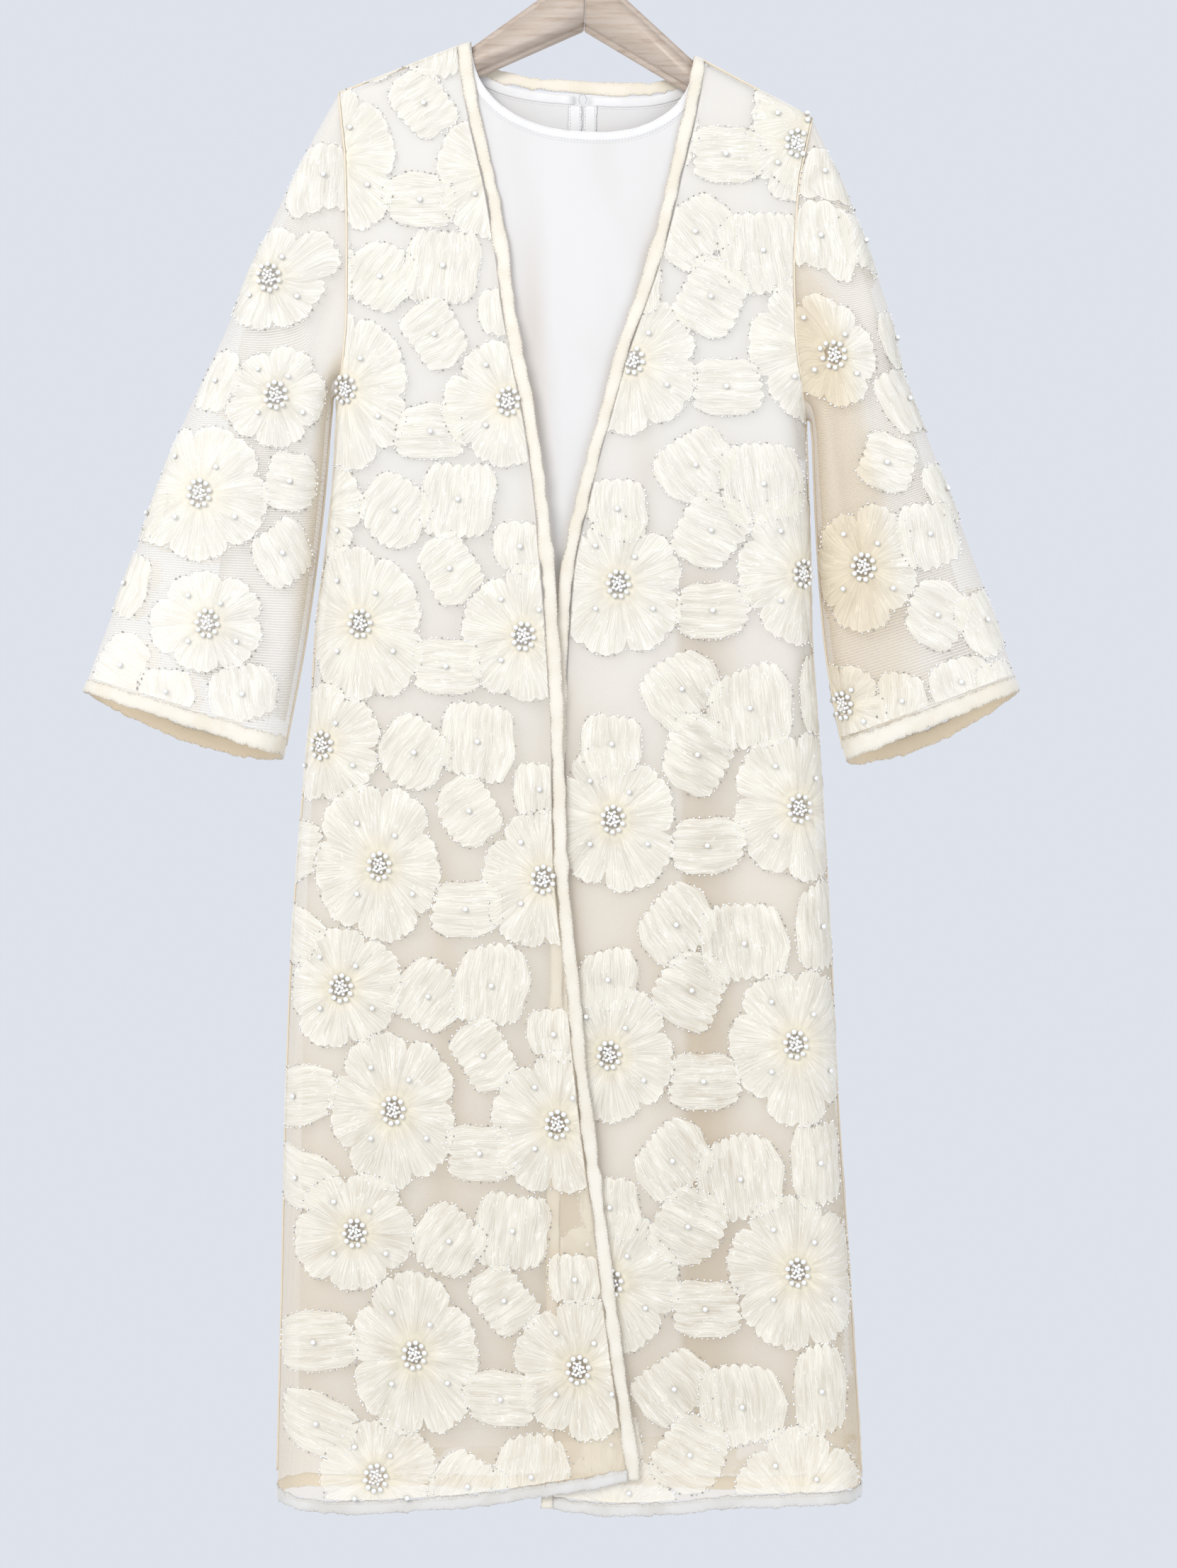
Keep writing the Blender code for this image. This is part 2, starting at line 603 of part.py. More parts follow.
def triangulate(outline, points, edges):
    """Triangles of a flat panel: its points, the outline's first, their sources (or -1) and the triangles."""
    count = len(outline)
    coords = [tuple(p) for p in outline] + [tuple(p) for p in points]
    links = [(i, (i + 1) % count) for i in range(count)]
    links += [(count + a, count + b) for a, b in edges]
    flat, _, faces, origin, _, _ = delaunay_2d_cdt(coords, links, [], 1, 1e-7, True)
    source = [min(olds) if olds else -1 for olds in origin]
    order = sorted(range(len(flat)), key=lambda i: source[i] if 0 <= source[i] < count else count + i)
    place = {old: new for new, old in enumerate(order)}
    flat = np.array([tuple(flat[i]) for i in order])
    faces = drop_outside([[place[i] for i in face] for face in faces], count)
    return flat, np.array([source[i] for i in order]), faces


def drop_outside(faces, count):
    """Leaves out the triangles between a panel's outline and its hull, walking in from the hull's edges."""
    sides = {}
    for number, face in enumerate(faces):
        for a, b in zip(face, face[1:] + face[:1]):
            sides.setdefault((min(a, b), max(a, b)), []).append(number)
    border = {(min(i, (i + 1) % count), max(i, (i + 1) % count)) for i in range(count)}
    open_sides = {edge: near for edge, near in sides.items() if edge not in border}
    outside = {near[0] for near in open_sides.values() if len(near) == 1}
    waiting = list(outside)
    while waiting:
        face = faces[waiting.pop()]
        for a, b in zip(face, face[1:] + face[:1]):
            for near in open_sides.get((min(a, b), max(a, b)), ()):
                if near not in outside:
                    outside.add(near)
                    waiting.append(near)
    return [face for number, face in enumerate(faces) if number not in outside]


def panel_grid(layer, outline, folds_at, step):
    """Plain points inside a panel: a grid on its flat, and rows round the shoulder and the side folds.

    Returns the points and which of them are on the flat.
    """
    low, high = outline.min(axis=0), outline.max(axis=0)
    rows = np.linspace(low[1], high[1], max(3, round((high[1] - low[1]) / step) + 1))
    columns = np.linspace(low[0], high[0], max(3, round((high[0] - low[0]) / step) + 1))
    flat = np.array([(x, z) for z in rows for x in columns])
    flat = flat[flat_zone(layer, folds_at, flat, step / 3)]
    turned = []
    turns = TURNS[layer]
    for fold in folds_at:
        if fold:
            for z in np.arange(low[1] + step / 2, fold.high + step, step):
                start, reach = fold(min(z, fold.high))
                turned.extend((start + reach * i / turns, z) for i in range(turns))
    for x in outline[np.abs(outline[:, 1] - seam_top(layer, outline[:, 0])) < 0.05 * MM, 0]:
        top = float(ridge(layer, x)) - ROLL[layer]
        turned.extend((x, top + QUARTER * ROLL[layer] * i / turns) for i in range(-1, turns))
    turned = np.array(turned)
    turned = turned[inside(outline, turned) & (distance_to(outline, turned) > 2.5 * MM)]
    flat = flat[inside(outline, flat) & (distance_to(outline, flat) > step / 3)]
    return np.concatenate((flat, turned)), np.arange(len(flat) + len(turned)) < len(flat)


def flat_zone(layer, folds_at, points, margin):
    """True for the points of a panel that are off the shoulder's roll and the side folds."""
    good = points[:, 1] < ridge(layer, points[:, 0]) - ROLL[layer] - margin
    for fold in folds_at:
        if fold:
            line = np.array([fold(min(z, fold.high)) for z in points[:, 1]])
            good &= (points[:, 0] - line[:, 0]) * np.sign(line[:, 1]) < -margin
    return good


def wall(vertices_out, vertices_in, faces_out, faces_in, rim):
    """Closes an outer and an inner skin that share a rim of the same number of points."""
    shift = len(vertices_out)
    vertices = np.concatenate((vertices_out, vertices_in))
    faces = [list(f) for f in faces_out]
    faces += [[shift + i for i in reversed(f)] for f in faces_in]
    for a, b in zip(rim, rim[1:] + rim[:1]):
        faces.append([b, a, shift + a])
        faces.append([b, shift + a, shift + b])
    return vertices, faces


def spread_out(layer, folds_at, points):
    """Flat points moved for the triangulation: the shoulder line level, and the rolls stretched out."""
    x, z = points.T
    lean = ridge(layer, x) - ridge(layer, NECK_X)
    roll = np.maximum(z - ridge(layer, x) + ROLL[layer], 0)
    z_out = z - lean * ease((z + SLOPE_LOW) / SLOPE_FADE) + ROLL_STRETCH * roll
    x_out = x.copy()
    for fold in folds_at:
        if fold:
            start, reach = np.array([fold(min(level, fold.high)) for level in z]).T
            past = np.maximum((x - start) * np.sign(reach), 0)
            x_out += FOLD_STRETCH * past * np.sign(reach)
    return np.stack((x_out, z_out), -1)


def panel_triangles(layer, folds_at, outline, points, edges):
    """Points and triangles of a body panel."""
    given = np.concatenate((outline, points))
    moved = spread_out(layer, folds_at, given)
    count = len(outline)
    flat, source, faces = triangulate(moved[:count], moved[count:], edges)
    x, level = flat.T
    lean = ridge(layer, x) - ridge(layer, NECK_X)
    z = level.copy()
    for _ in range(30):
        z = level + lean * ease((z + SLOPE_LOW) / SLOPE_FADE)
    back = np.stack((x, z), -1)
    back[source >= 0] = given[source[source >= 0]]
    return back, faces


def build_panel(name, outline, surface, layer, items, folds_at, back=False, lapped_over=False):
    """A cloth panel: raised appliqué on its outer skin over a plain inner skin."""
    count = len(outline)
    grid, _ = panel_grid(layer, outline, folds_at, INNER_STEP if layer == "coat" else SLIP_STEP)
    flat_in, faces_in = panel_triangles(layer, folds_at, outline, grid, [])
    flat_out, faces_out = flat_in, faces_in
    rise = np.zeros(len(flat_in))
    if items:

        def allowed(points):
            clear = inside(outline, points) & (distance_to(outline, points) > EDGE_CLEAR)
            return clear & flat_zone(layer, folds_at, points, 1 * MM)

        raised, edges, kept = applique_points(items, allowed, not back)
        grid, on_flat = panel_grid(layer, outline, folds_at, GRID)
        gap = np.linalg.norm(grid[:, None] - raised[None], axis=-1).min(axis=1)
        plain = grid[~on_flat | ((gap > 0.3 * GRID) & (applique_rise(kept, grid) == 0))]
        points = np.concatenate((raised, plain))
        flat_out, faces_out = panel_triangles(layer, folds_at, outline, points, edges)
        rise = applique_rise(kept, flat_out)
        rise[:count] = 0
        if lapped_over:
            covered = flat_out[:, 0] < edge_x(LEFT_EDGE, flat_out[:, 1]) + LAP_MARGIN
            rise[covered] = np.minimum(rise[covered], LAP_RISE)
    outer = surface(flat_out[:, 0], flat_out[:, 1], rise)
    inner = surface(flat_in[:, 0], flat_in[:, 1], np.full(len(flat_in), -WALL[layer]))
    rim = turned(range(count), back != (flat_area(outline) < 0))
    faces_out = [turned(face, back) for face in faces_out]
    faces_in = [turned(face, back) for face in faces_in]
    vertices, faces = wall(outer, inner, faces_out, faces_in, rim)
    return add_object(name, vertices, faces, "net" if layer == "coat" else "slip")


def turned(face, reverse):
    """A face's points, the other way round where it is reversed."""
    return list(reversed(face)) if reverse else list(face)


def flat_area(outline):
    """Signed area of a flat outline: positive when it runs anticlockwise."""
    after = np.roll(outline, -1, axis=0)
    return float((outline[:, 0] * after[:, 1] - after[:, 0] * outline[:, 1]).sum() / 2)


def spaced(points, count):
    """A flat line resampled with equal steps."""
    lengths = np.append(0, np.cumsum(np.linalg.norm(np.diff(points, axis=0), axis=1)))
    at = np.linspace(0, lengths[-1], count)
    return np.stack([np.interp(at, lengths, points[:, i]) for i in range(2)], -1)


def needed(points, first, last):
    """Numbers of the points that a curve in space needs between two of its points."""
    chord = points[last] - points[first]
    length = np.linalg.norm(chord)
    between = points[first + 1:last] - points[first]
    if not len(between):
        return []
    part = np.clip(between @ chord / max(length ** 2, 1e-12), 0, 1)
    off = np.linalg.norm(between - part[:, None] * chord, axis=1)
    worst = int(off.argmax())
    if off[worst] < LINE_TOLERANCE:
        if length < LONGEST_STEP * math.sqrt(points.shape[1] / 3):
            return []
        worst = len(between) // 2
    middle = first + 1 + worst
    return needed(points, first, middle) + [middle] + needed(points, middle, last)


def fitted(lines, surface):
    """Flat lines that run side by side, with the few points that the surface needs."""
    lines = [spaced(np.array(line, float), 161) for line in lines]
    space = np.concatenate([surface(line[:, 0], line[:, 1], 0.0) for line in lines], axis=1)
    kept = [0] + needed(space, 0, len(space) - 1) + [len(space) - 1]
    return [line[kept] for line in lines]


def join_lines(lines):
    """One closed outline from lines that meet end to start."""
    return np.concatenate([line[:-1] for line in lines])


def shoulder_seam(layer, x_from, x_to):
    """The shoulder seam in flat coordinates, half way over the ridge."""
    x = np.linspace(x_from, x_to, 6)
    return np.stack((x, seam_top(layer, x)), -1)


def seam_top(layer, x):
    """Flat height of the shoulder seam, half way over the ridge."""
    return ridge(layer, x) + (QUARTER - 1) * ROLL[layer] - SEAM_GAP / 2


def armhole_line(layer, which):
    """The armhole as part of a panel's outline, from the shoulder down, short of both seams."""
    x, z = armhole_at(layer, which, np.array(RING_SHARES), 0.0)
    z[0] -= SEAM_GAP / 2
    x[-1] += (1 if which == "left" else -1) * SEAM_GAP / 2
    return np.stack((x, z), -1)


def side_line(layer, which, low):
    """The side seam in flat coordinates, from the underarm down to a height."""
    high = UNDERARM[which] + (SLIP_UNDERARM_RISE if layer == "slip" else 0)
    z = np.linspace(high, low, 24)
    sign = 1 if which == "left" else -1
    return np.stack((seam_x(layer, which, z) + sign * SEAM_GAP / 2, z), -1)


def hem_line(table, x_from, x_to, rise):
    """A line at a height above the hem, between two x."""
    x = np.linspace(x_from, x_to, 12)
    return np.stack((x, hem_z(table, x) + rise), -1)


def edge_line(table, low, inset):
    """A line beside a front edge, from near the hem up to the shoulder seam."""
    top = -130 * MM
    for _ in range(6):
        top = float(seam_top("coat", edge_x(table, top) + inset))
    z = np.linspace(low, top, 60)
    return np.stack((edge_x(table, z) + inset, z), -1)


def neck_line(layer, neck, widen):
    """A neckline in flat coordinates, from the left neck point to the right one, widened by a band."""
    drop, square = neck
    angle = np.linspace(0, math.pi, 37)
    x = -np.sign(np.cos(angle)) * np.abs(np.cos(angle)) ** (2 / square)
    fall = np.sin(angle) ** (2 / square)
    x = NECK_X + (NECK_HALF + widen) * x
    return np.stack((x, seam_top(layer, x) - (drop + widen) * fall), -1)


class SideFold:
    """Where a side fold begins at each height, and how far the flat drawing runs round it."""

    def __init__(self, layer, which):
        self.layer = layer
        self.which = which
        self.sign = -1 if which == "left" else 1
        self.high = UNDERARM[which]

    def __call__(self, z):
        depth = float(half_depth(self.layer, z))
        return float(side(self.layer, self.which, z)) - self.sign * depth, self.sign * QUARTER * depth


def coat_front(which):
    """One front of the coat, with its front band and its hem band."""
    sign = 1 if which == "left" else -1
    edge = LEFT_EDGE if which == "left" else RIGHT_EDGE
    hem = LEFT_HEM if which == "left" else RIGHT_HEM
    surface = body_surface("coat", lapped=which == "left")
    inset = -sign * (BAND_WIDTH + BAND_GAP)
    low_x = float(seam_x("coat", which, -1340 * MM)) + sign * SEAM_GAP / 2
    side_run = side_line("coat", which, float(hem_z(hem, low_x)) + BAND_WIDTH)
    low_x = side_run[-1, 0]
    bottom = hem_line(hem, low_x, corner_at(edge, hem, inset, BAND_WIDTH), BAND_WIDTH)
    bottom[0] = side_run[-1]
    front = edge_line(edge, bottom[-1, 1], inset)
    corner = float(hem_z(hem, corner_at(edge, hem, 0, 0)))
    band = [edge_line(edge, corner, shift) for shift in (0, -sign * BAND_WIDTH)]
    *band, front = fitted((*band, front), surface)
    front[0] = bottom[-1]
    arm = armhole_line("coat", which)
    top = shoulder_seam("coat", front[-1, 0], arm[0, 0])
    front[-1] = top[0]
    hems = [hem_line(hem, low_x, corner_at(edge, hem, inset, r), r) for r in (0, BAND_WIDTH - BAND_GAP)]
    *hems, bottom = fitted((*hems, bottom), surface)
    lines = (top, arm, *fitted([side_run], surface), bottom, front)
    repeat, mirror = (REPEAT_LEFT, -1) if which == "left" else (REPEAT_RIGHT, 1)
    items = repeat_items(repeat, mirror)
    if which == "right":
        items = [i for i in items if i[1] > edge_x(LEFT_EDGE, i[2]) - 6 * MM or i[2] > -560 * MM]
    turns = SideFold("coat", which)
    folds_at = (turns, None) if which == "left" else (None, turns)
    outline = join_lines(lines)
    name = f"coat_front_{which}"
    build_panel(name, outline, surface, "coat", items, folds_at, lapped_over=which == "right")
    band_strip(f"front_band_{which}", surface, band)
    band_strip(f"hem_band_{which}", surface, hems)


def corner_at(edge, hem, inset, rise):
    """x of the lower corner of a front, beside its edge and above its hem."""
    x = float(edge_x(edge, -1340 * MM)) + inset
    for _ in range(6):
        x = float(edge_x(edge, hem_z(hem, x) + rise)) + inset
    return x


def band_strip(name, surface, lines, out=BAND_OUT, inn=BAND_IN, material="band"):
    """A turned band: a flat tube of cloth along two lines."""
    first, second = lines
    rows = []
    for line, rise in ((first, out), (second, out), (second, inn), (first, inn)):
        rows.append(surface(line[:, 0], line[:, 1], np.full(len(line), rise)))
    return tube(name, np.stack(rows, 1), material)


def tube(name, rings, material, closed=False):
    """A closed solid from rings of points, with flat ends unless it is closed into a ring."""
    count, sides = rings.shape[:2]
    faces = []
    for i in range(count if closed else count - 1):
        for j in range(sides):
            k = (j + 1) % sides
            n = (i + 1) % count
            faces.append([i * sides + j, i * sides + k, n * sides + k, n * sides + j])
    if not closed:
        faces.append([j for j in reversed(range(sides))])
        faces.append([(count - 1) * sides + j for j in range(sides)])
    item = add_object(name, rings.reshape(-1, 3), faces, material)
    work = bmesh.new()
    work.from_mesh(item.data)
    bmesh.ops.triangulate(work, faces=work.faces[:])
    bmesh.ops.recalc_face_normals(work, faces=work.faces[:])
    work.to_mesh(item.data)
    work.free()
    return item


def body_outline(layer, surface, neck, hem, rise):
    """The outline of a whole front or back: neck, shoulders, armholes, sides and hem."""
    arms = {which: armhole_line(layer, which) for which in ("left", "right")}
    sides = {}
    for which in ("left", "right"):
        low_x = float(seam_x(layer, which, -1300 * MM))
        sides[which] = side_line(layer, which, float(hem_z(hem, low_x)) + rise)
    bottom = hem_line(hem, sides["right"][-1, 0], sides["left"][-1, 0], rise)
    bottom[0] = sides["right"][-1]
    bottom[-1] = sides["left"][-1]
    right_top = shoulder_seam(layer, neck[-1][-1, 0], arms["right"][0, 0])
    left_top = shoulder_seam(layer, arms["left"][0, 0], neck[0][0, 0])
    lines = (*neck, right_top, arms["right"], sides["right"], bottom, sides["left"][::-1], arms["left"][::-1])
    outline = join_lines([
        line if len(line) in (len(RING_SHARES), len(left_top)) else fitted([line], surface)[0]
        for line in (*lines, left_top)
    ])
    return outline, sides["left"][-1, 0], sides["right"][-1, 0]


def coat_back():
    """The back of the coat, with its neck band and hem band."""
    surface = body_surface("coat", back=True)
    neck = neck_line("coat", COAT_BACK_NECK, BAND_WIDTH + BAND_GAP)
    outline, low_left, low_right = body_outline("coat", surface, [neck], BACK_HEM, BAND_WIDTH)
    folds_at = (SideFold("coat", "left"), SideFold("coat", "right"))
    build_panel("coat_back", outline, surface, "coat", back_items(), folds_at, back=True)
    lines = [neck_line("coat", COAT_BACK_NECK, widen) for widen in (0, BAND_WIDTH)]
    band_strip("neck_band_back", surface, fitted(lines, surface))
    lines = [hem_line(BACK_HEM, low_left, low_right, rise) for rise in (0, BAND_WIDTH - BAND_GAP)]
    band_strip("hem_band_back", surface, fitted(lines, surface))


def sleeve_shares(layer, which, station):
    """Shares of the way round at which a sleeve's skin has its plain points, at one station."""
    _, _, width, depth = sleeve_sections(layer, which, np.array([station]))
    turns = np.array(SLEEVE_TURNS[layer]) * QUARTER * depth[0] / (width[0] + 2 * (QUARTER - 1) * depth[0])
    middle = np.linspace(turns[-1], 1 - turns[-1], SLEEVE_FLATS[layer] + 2)[1:-1]
    return np.concatenate((turns, middle, 1 - turns[::-1]))


def sleeve_border(layer, which, back):
    """The outline of one half of a sleeve, as stations and shares of the way round."""
    short = BAND_WIDTH + BAND_GAP if layer == "coat" else 0.0
    stations = np.array(SLEEVE_STATIONS[layer])
    cuff = np.concatenate(((0,), sleeve_shares(layer, which, 1.0), (1,)))
    end = cuff_station(cuff, back and layer == "coat", short)
    ring = np.array(RING_SHARES)[::-1]
    along = np.concatenate((stations[:-1] * end[0], end[:-1], stations[:0:-1] * end[-1], 0 * ring[:-1]))
    shares = np.concatenate((0 * stations[:-1], cuff[:-1], 0 * stations[:0:-1] + 1, ring[:-1]))
    first = len(stations) - 1
    cuff_edge = range(first, first + len(cuff) - 1)
    ring_edge = range(len(along) - len(ring) + 1, len(along))
    return np.stack((along, shares), -1), (*cuff_edge, *ring_edge)


def sleeve_triangles(layer, which, border, points, edges):
    """Places and triangles of one half of a sleeve, found with its two folds stretched out."""
    given = np.concatenate((border, points))

    def folded(along):
        _, _, width, depth = sleeve_sections(layer, which, along)
        return SLEEVE_TURNS[layer][-1] * QUARTER * depth / (width + 2 * (QUARTER - 1) * depth)

    along, share = given.T
    part = folded(along)
    spread = share + FOLD_STRETCH * (np.minimum(share, part) + np.maximum(share - 1 + part, 0))
    moved = np.stack((along * SLEEVE_LONG, spread * SLEEVE_ROUND), -1)
    flat, source, faces = triangulate(moved[:len(border)], moved[len(border):], edges)
    along = flat[:, 0] / SLEEVE_LONG
    places = np.stack((along, flat[:, 1] / SLEEVE_ROUND - FOLD_STRETCH * folded(along)), -1)
    places[source >= 0] = given[source[source >= 0]]
    return places, faces


def sleeve_skins(layer, which, back, items):
    """Outer and inner skin of one half of a sleeve: points and triangles, the outline's points first."""
    border, ends = sleeve_border(layer, which, back)
    count = len(border)
    rows = [[(station, share) for share in sleeve_shares(layer, which, station)] for station in
            SLEEVE_STATIONS[layer][1:-1]]
    grid = np.array(sum(rows, []))
    places_in, faces_in = sleeve_triangles(layer, which, border, grid, [])
    places_out, faces_out = places_in, faces_in
    rise = np.zeros(len(places_in))
    if items:
        outline = flat_on_sleeve(layer, which, border[:, 0], border[:, 1])

        def allowed(points):
            station, distance = find_on_sleeve(layer, which, points[:, 0], points[:, 1])
            _, _, width, depth = sleeve_sections(layer, which, station)
            clear = inside(outline, points) & (distance_to(outline, points) > EDGE_CLEAR)
            on_flat = (distance > depth + 2 * MM) & (distance < width - depth - 2 * MM)
            return clear & on_flat & (station > SLEEVE_FLAT)

        raised, edges, kept = applique_points(items, allowed, not back)
        flat = flat_on_sleeve(layer, which, grid[:, 0], grid[:, 1])
        gap = np.linalg.norm(flat[:, None] - raised[None], axis=-1).min(axis=1)
        plain = grid[~allowed(flat) | ((gap > 0.2 * GRID) & (applique_rise(kept, flat) == 0))]
        station, distance = find_on_sleeve(layer, which, raised[:, 0], raised[:, 1])
        _, _, width, depth = sleeve_sections(layer, which, station)
        share = (distance + (QUARTER - 1) * depth) / (width + 2 * (QUARTER - 1) * depth)
        raised = np.stack((station, share), -1)
        points = np.concatenate((raised, plain))
        places_out, faces_out = sleeve_triangles(layer, which, border, points, edges)
        rise = applique_rise(kept, flat_on_sleeve(layer, which, *places_out.T))
        rise[:count] = 0
    outer = sleeve_skin(layer, which, back, places_out, rise)
    inner = sleeve_skin(layer, which, back, places_in, np.full(len(places_in), -WALL[layer]))
    for skin in (outer, inner):
        skin[:count, 1] *= (border[:, 1] > 0) & (border[:, 1] < 1)
    return outer, inner, faces_out, faces_in, count, ends


def sleeve_skin(layer, which, back, places, out):
    """Points of a sleeve from their stations and shares of the way round."""
    along, share = places.T
    _, _, width, depth = sleeve_sections(layer, which, along)
    distance = share * (width + 2 * (QUARTER - 1) * depth) - (QUARTER - 1) * depth
    return sleeve_point(layer, which, back, along, distance, out)


def sleeve(layer, which, items):
    """A sleeve: one closed wall round its tube."""
    work = bmesh.new()
    for back in (False, True):
        outer, inner, faces_out, faces_in, count, ends = sleeve_skins(layer, which, back, items)
        rims = []
        for points, faces, flip in ((outer, faces_out, back), (inner, faces_in, not back)):
            made = [work.verts.new(p) for p in points]
            for face in faces:
                work.faces.new([made[i] for i in turned(face, flip)])
            rims.append(made[:count])
        for a in ends:
            b = (a + 1) % count
            work.faces.new([rims[0][a], rims[0][b], rims[1][b]])
            work.faces.new([rims[0][a], rims[1][b], rims[1][a]])
    bmesh.ops.remove_doubles(work, verts=work.verts[:], dist=0.01 * MM)
    bmesh.ops.recalc_face_normals(work, faces=work.faces[:])
    mesh = bpy.data.meshes.new(f"{layer}_sleeve_{which}")
    work.to_mesh(mesh)
    work.free()
    mesh.materials.append(make_material("net" if layer == "coat" else "slip"))
    mesh.shade_smooth()
    bpy.context.scene.collection.objects.link(bpy.data.objects.new(mesh.name, mesh))


def cuff_band(which):
    """The turned band round a cuff: a closed ring of cloth."""
    cuff = np.concatenate(((0,), sleeve_shares("coat", which, 1.0), (1,)))
    rings = []
    for back in (False, True):
        shares = cuff[::-1][:-1] if back else cuff[:-1]
        end = cuff_station(shares, back, 0)
        start = cuff_station(shares, back, BAND_WIDTH)
        corners = []
        for station, rise in ((end, BAND_OUT), (start, BAND_OUT), (start, BAND_IN), (end, BAND_IN)):
            places = np.stack((station, shares), -1)
            corners.append(sleeve_skin("coat", which, back, places, np.full(len(shares), rise)))
        rings.append(np.stack(corners, 1))
    tube(f"cuff_band_{which}", np.concatenate(rings), "band", closed=True)


def slip_body():
    """Front and back of the slip with the bindings of the neck and the slit of the back."""
    for back in (False, True):
        surface = body_surface("slip", back=back)
        shape = SLIP_BACK_NECK if back else SLIP_FRONT_NECK
        neck = neck_line("slip", shape, BINDING_WIDTH + BAND_GAP)
        neck = cut_slit(neck) if back else [neck]
        outline, _, _ = body_outline("slip", surface, neck, SLIP_HEM, 0)
        folds_at = (SideFold("slip", "left"), SideFold("slip", "right"))
        name = "slip_back" if back else "slip_front"
        build_panel(name, outline, surface, "slip", [], folds_at, back=back)
        top, low = (neck_line("slip", shape, widen) for widen in (0, BINDING_WIDTH))
        if not back:
            lines = fitted((top, low), surface)
            band_strip("slip_neck_front", surface, lines, BINDING_OUT, BINDING_IN, "slip")
            continue
        for which, sign in (("left", -1), ("right", 1)):
            lines = fitted([half_line(line, sign) for line in (top, low)], surface)
            band_strip(f"slip_neck_back_{which}", surface, lines, BINDING_OUT, BINDING_IN, "slip")


def half_line(line, sign):
    """The half of the back neckline on one side of the slit."""
    half = line[sign * (line[:, 0] - NECK_X) > 2 * SLIT_HALF]
    cut = np.array([(NECK_X + sign * SLIT_HALF, np.interp(NECK_X, line[:, 0], line[:, 1]))])
    return np.concatenate((half, cut) if sign < 0 else (cut, half))


def cut_slit(neck):
    """The back neckline in five lines, with the slit cut down from its middle."""
    left, right = half_line(neck, -1), half_line(neck, 1)
    low = left[-1, 1] - SLIT_LENGTH
    foot = np.array(((left[-1, 0], low), (right[0, 0], low)))
    return left, np.array((left[-1], foot[0])), foot, np.array((foot[1], right[0])), right


def hanger_arm(which):
    """One wooden arm, from the mitre to its rounded end."""
    sign = -1 if which == "left" else 1
    slope = (HANGER_TIP[1] - HANGER_NECK[1]) / (HANGER_TIP[0] - HANGER_NECK[0])
    end_top = HANGER_NECK[1] + slope * (HANGER_ARM - HANGER_NECK[0])
    crown = ((0.2 * MM, HANGER_CROWN), (9 * MM, HANGER_CROWN - 3 * MM))
    shoulder = (140 * MM, HANGER_NECK[1] + slope * 45 * MM)
    upper = crown + (HANGER_NECK, shoulder, (HANGER_ARM - 8 * MM, end_top + 3 * MM))
    nose = ((HANGER_ARM, end_top - 6 * MM), (HANGER_ARM, end_top - 16 * MM))
    lower = (
        (HANGER_ARM - 8 * MM, end_top - HANGER_DROP_TIP),
        (HANGER_NECK[0], HANGER_NECK[1] - HANGER_DROP_NECK), (0.2 * MM, 0.0),
    )
    outline = upper + nose + lower
    work = bmesh.new()
    points = [from_hanger(sign * x, z) for x, z in outline]
    front = [work.verts.new((x, -HANGER_THICK / 2, z)) for x, z in points]
    face = work.faces.new(front)
    grown = bmesh.ops.extrude_face_region(work, geom=[face])
    bmesh.ops.translate(
        work, verts=[v for v in grown["geom"] if isinstance(v, bmesh.types.BMVert)], vec=(0, HANGER_THICK, 0)
    )
    bmesh.ops.recalc_face_normals(work, faces=work.faces[:])
    rims = [e for e in work.edges if abs(e.verts[0].co.y - e.verts[1].co.y) < 1e-6
            and not all(abs(from_mitre(v.co)) < 1 * MM for v in e.verts)]
    bmesh.ops.bevel(work, geom=rims, offset=HANGER_EDGE, segments=3, affect="EDGES", clamp_overlap=True)
    bmesh.ops.triangulate(work, faces=work.faces[:])
    bmesh.ops.recalc_face_normals(work, faces=work.faces[:])
    mesh = bpy.data.meshes.new(f"hanger_arm_{which}")
    work.to_mesh(mesh)
    work.free()
    mesh.materials.append(make_material("beech"))
    mesh.shade_smooth()
    mesh.set_sharp_from_angle(angle=math.radians(40))
    item = bpy.data.objects.new(mesh.name, mesh)
    bpy.context.scene.collection.objects.link(item)


def from_mitre(point):
    """Distance of a point from the plane of the mitre."""
    dx, dz = point.x - HANGER_X, point.z - HANGER_Z
    return dx * math.cos(HANGER_TILT) - dz * math.sin(HANGER_TILT)


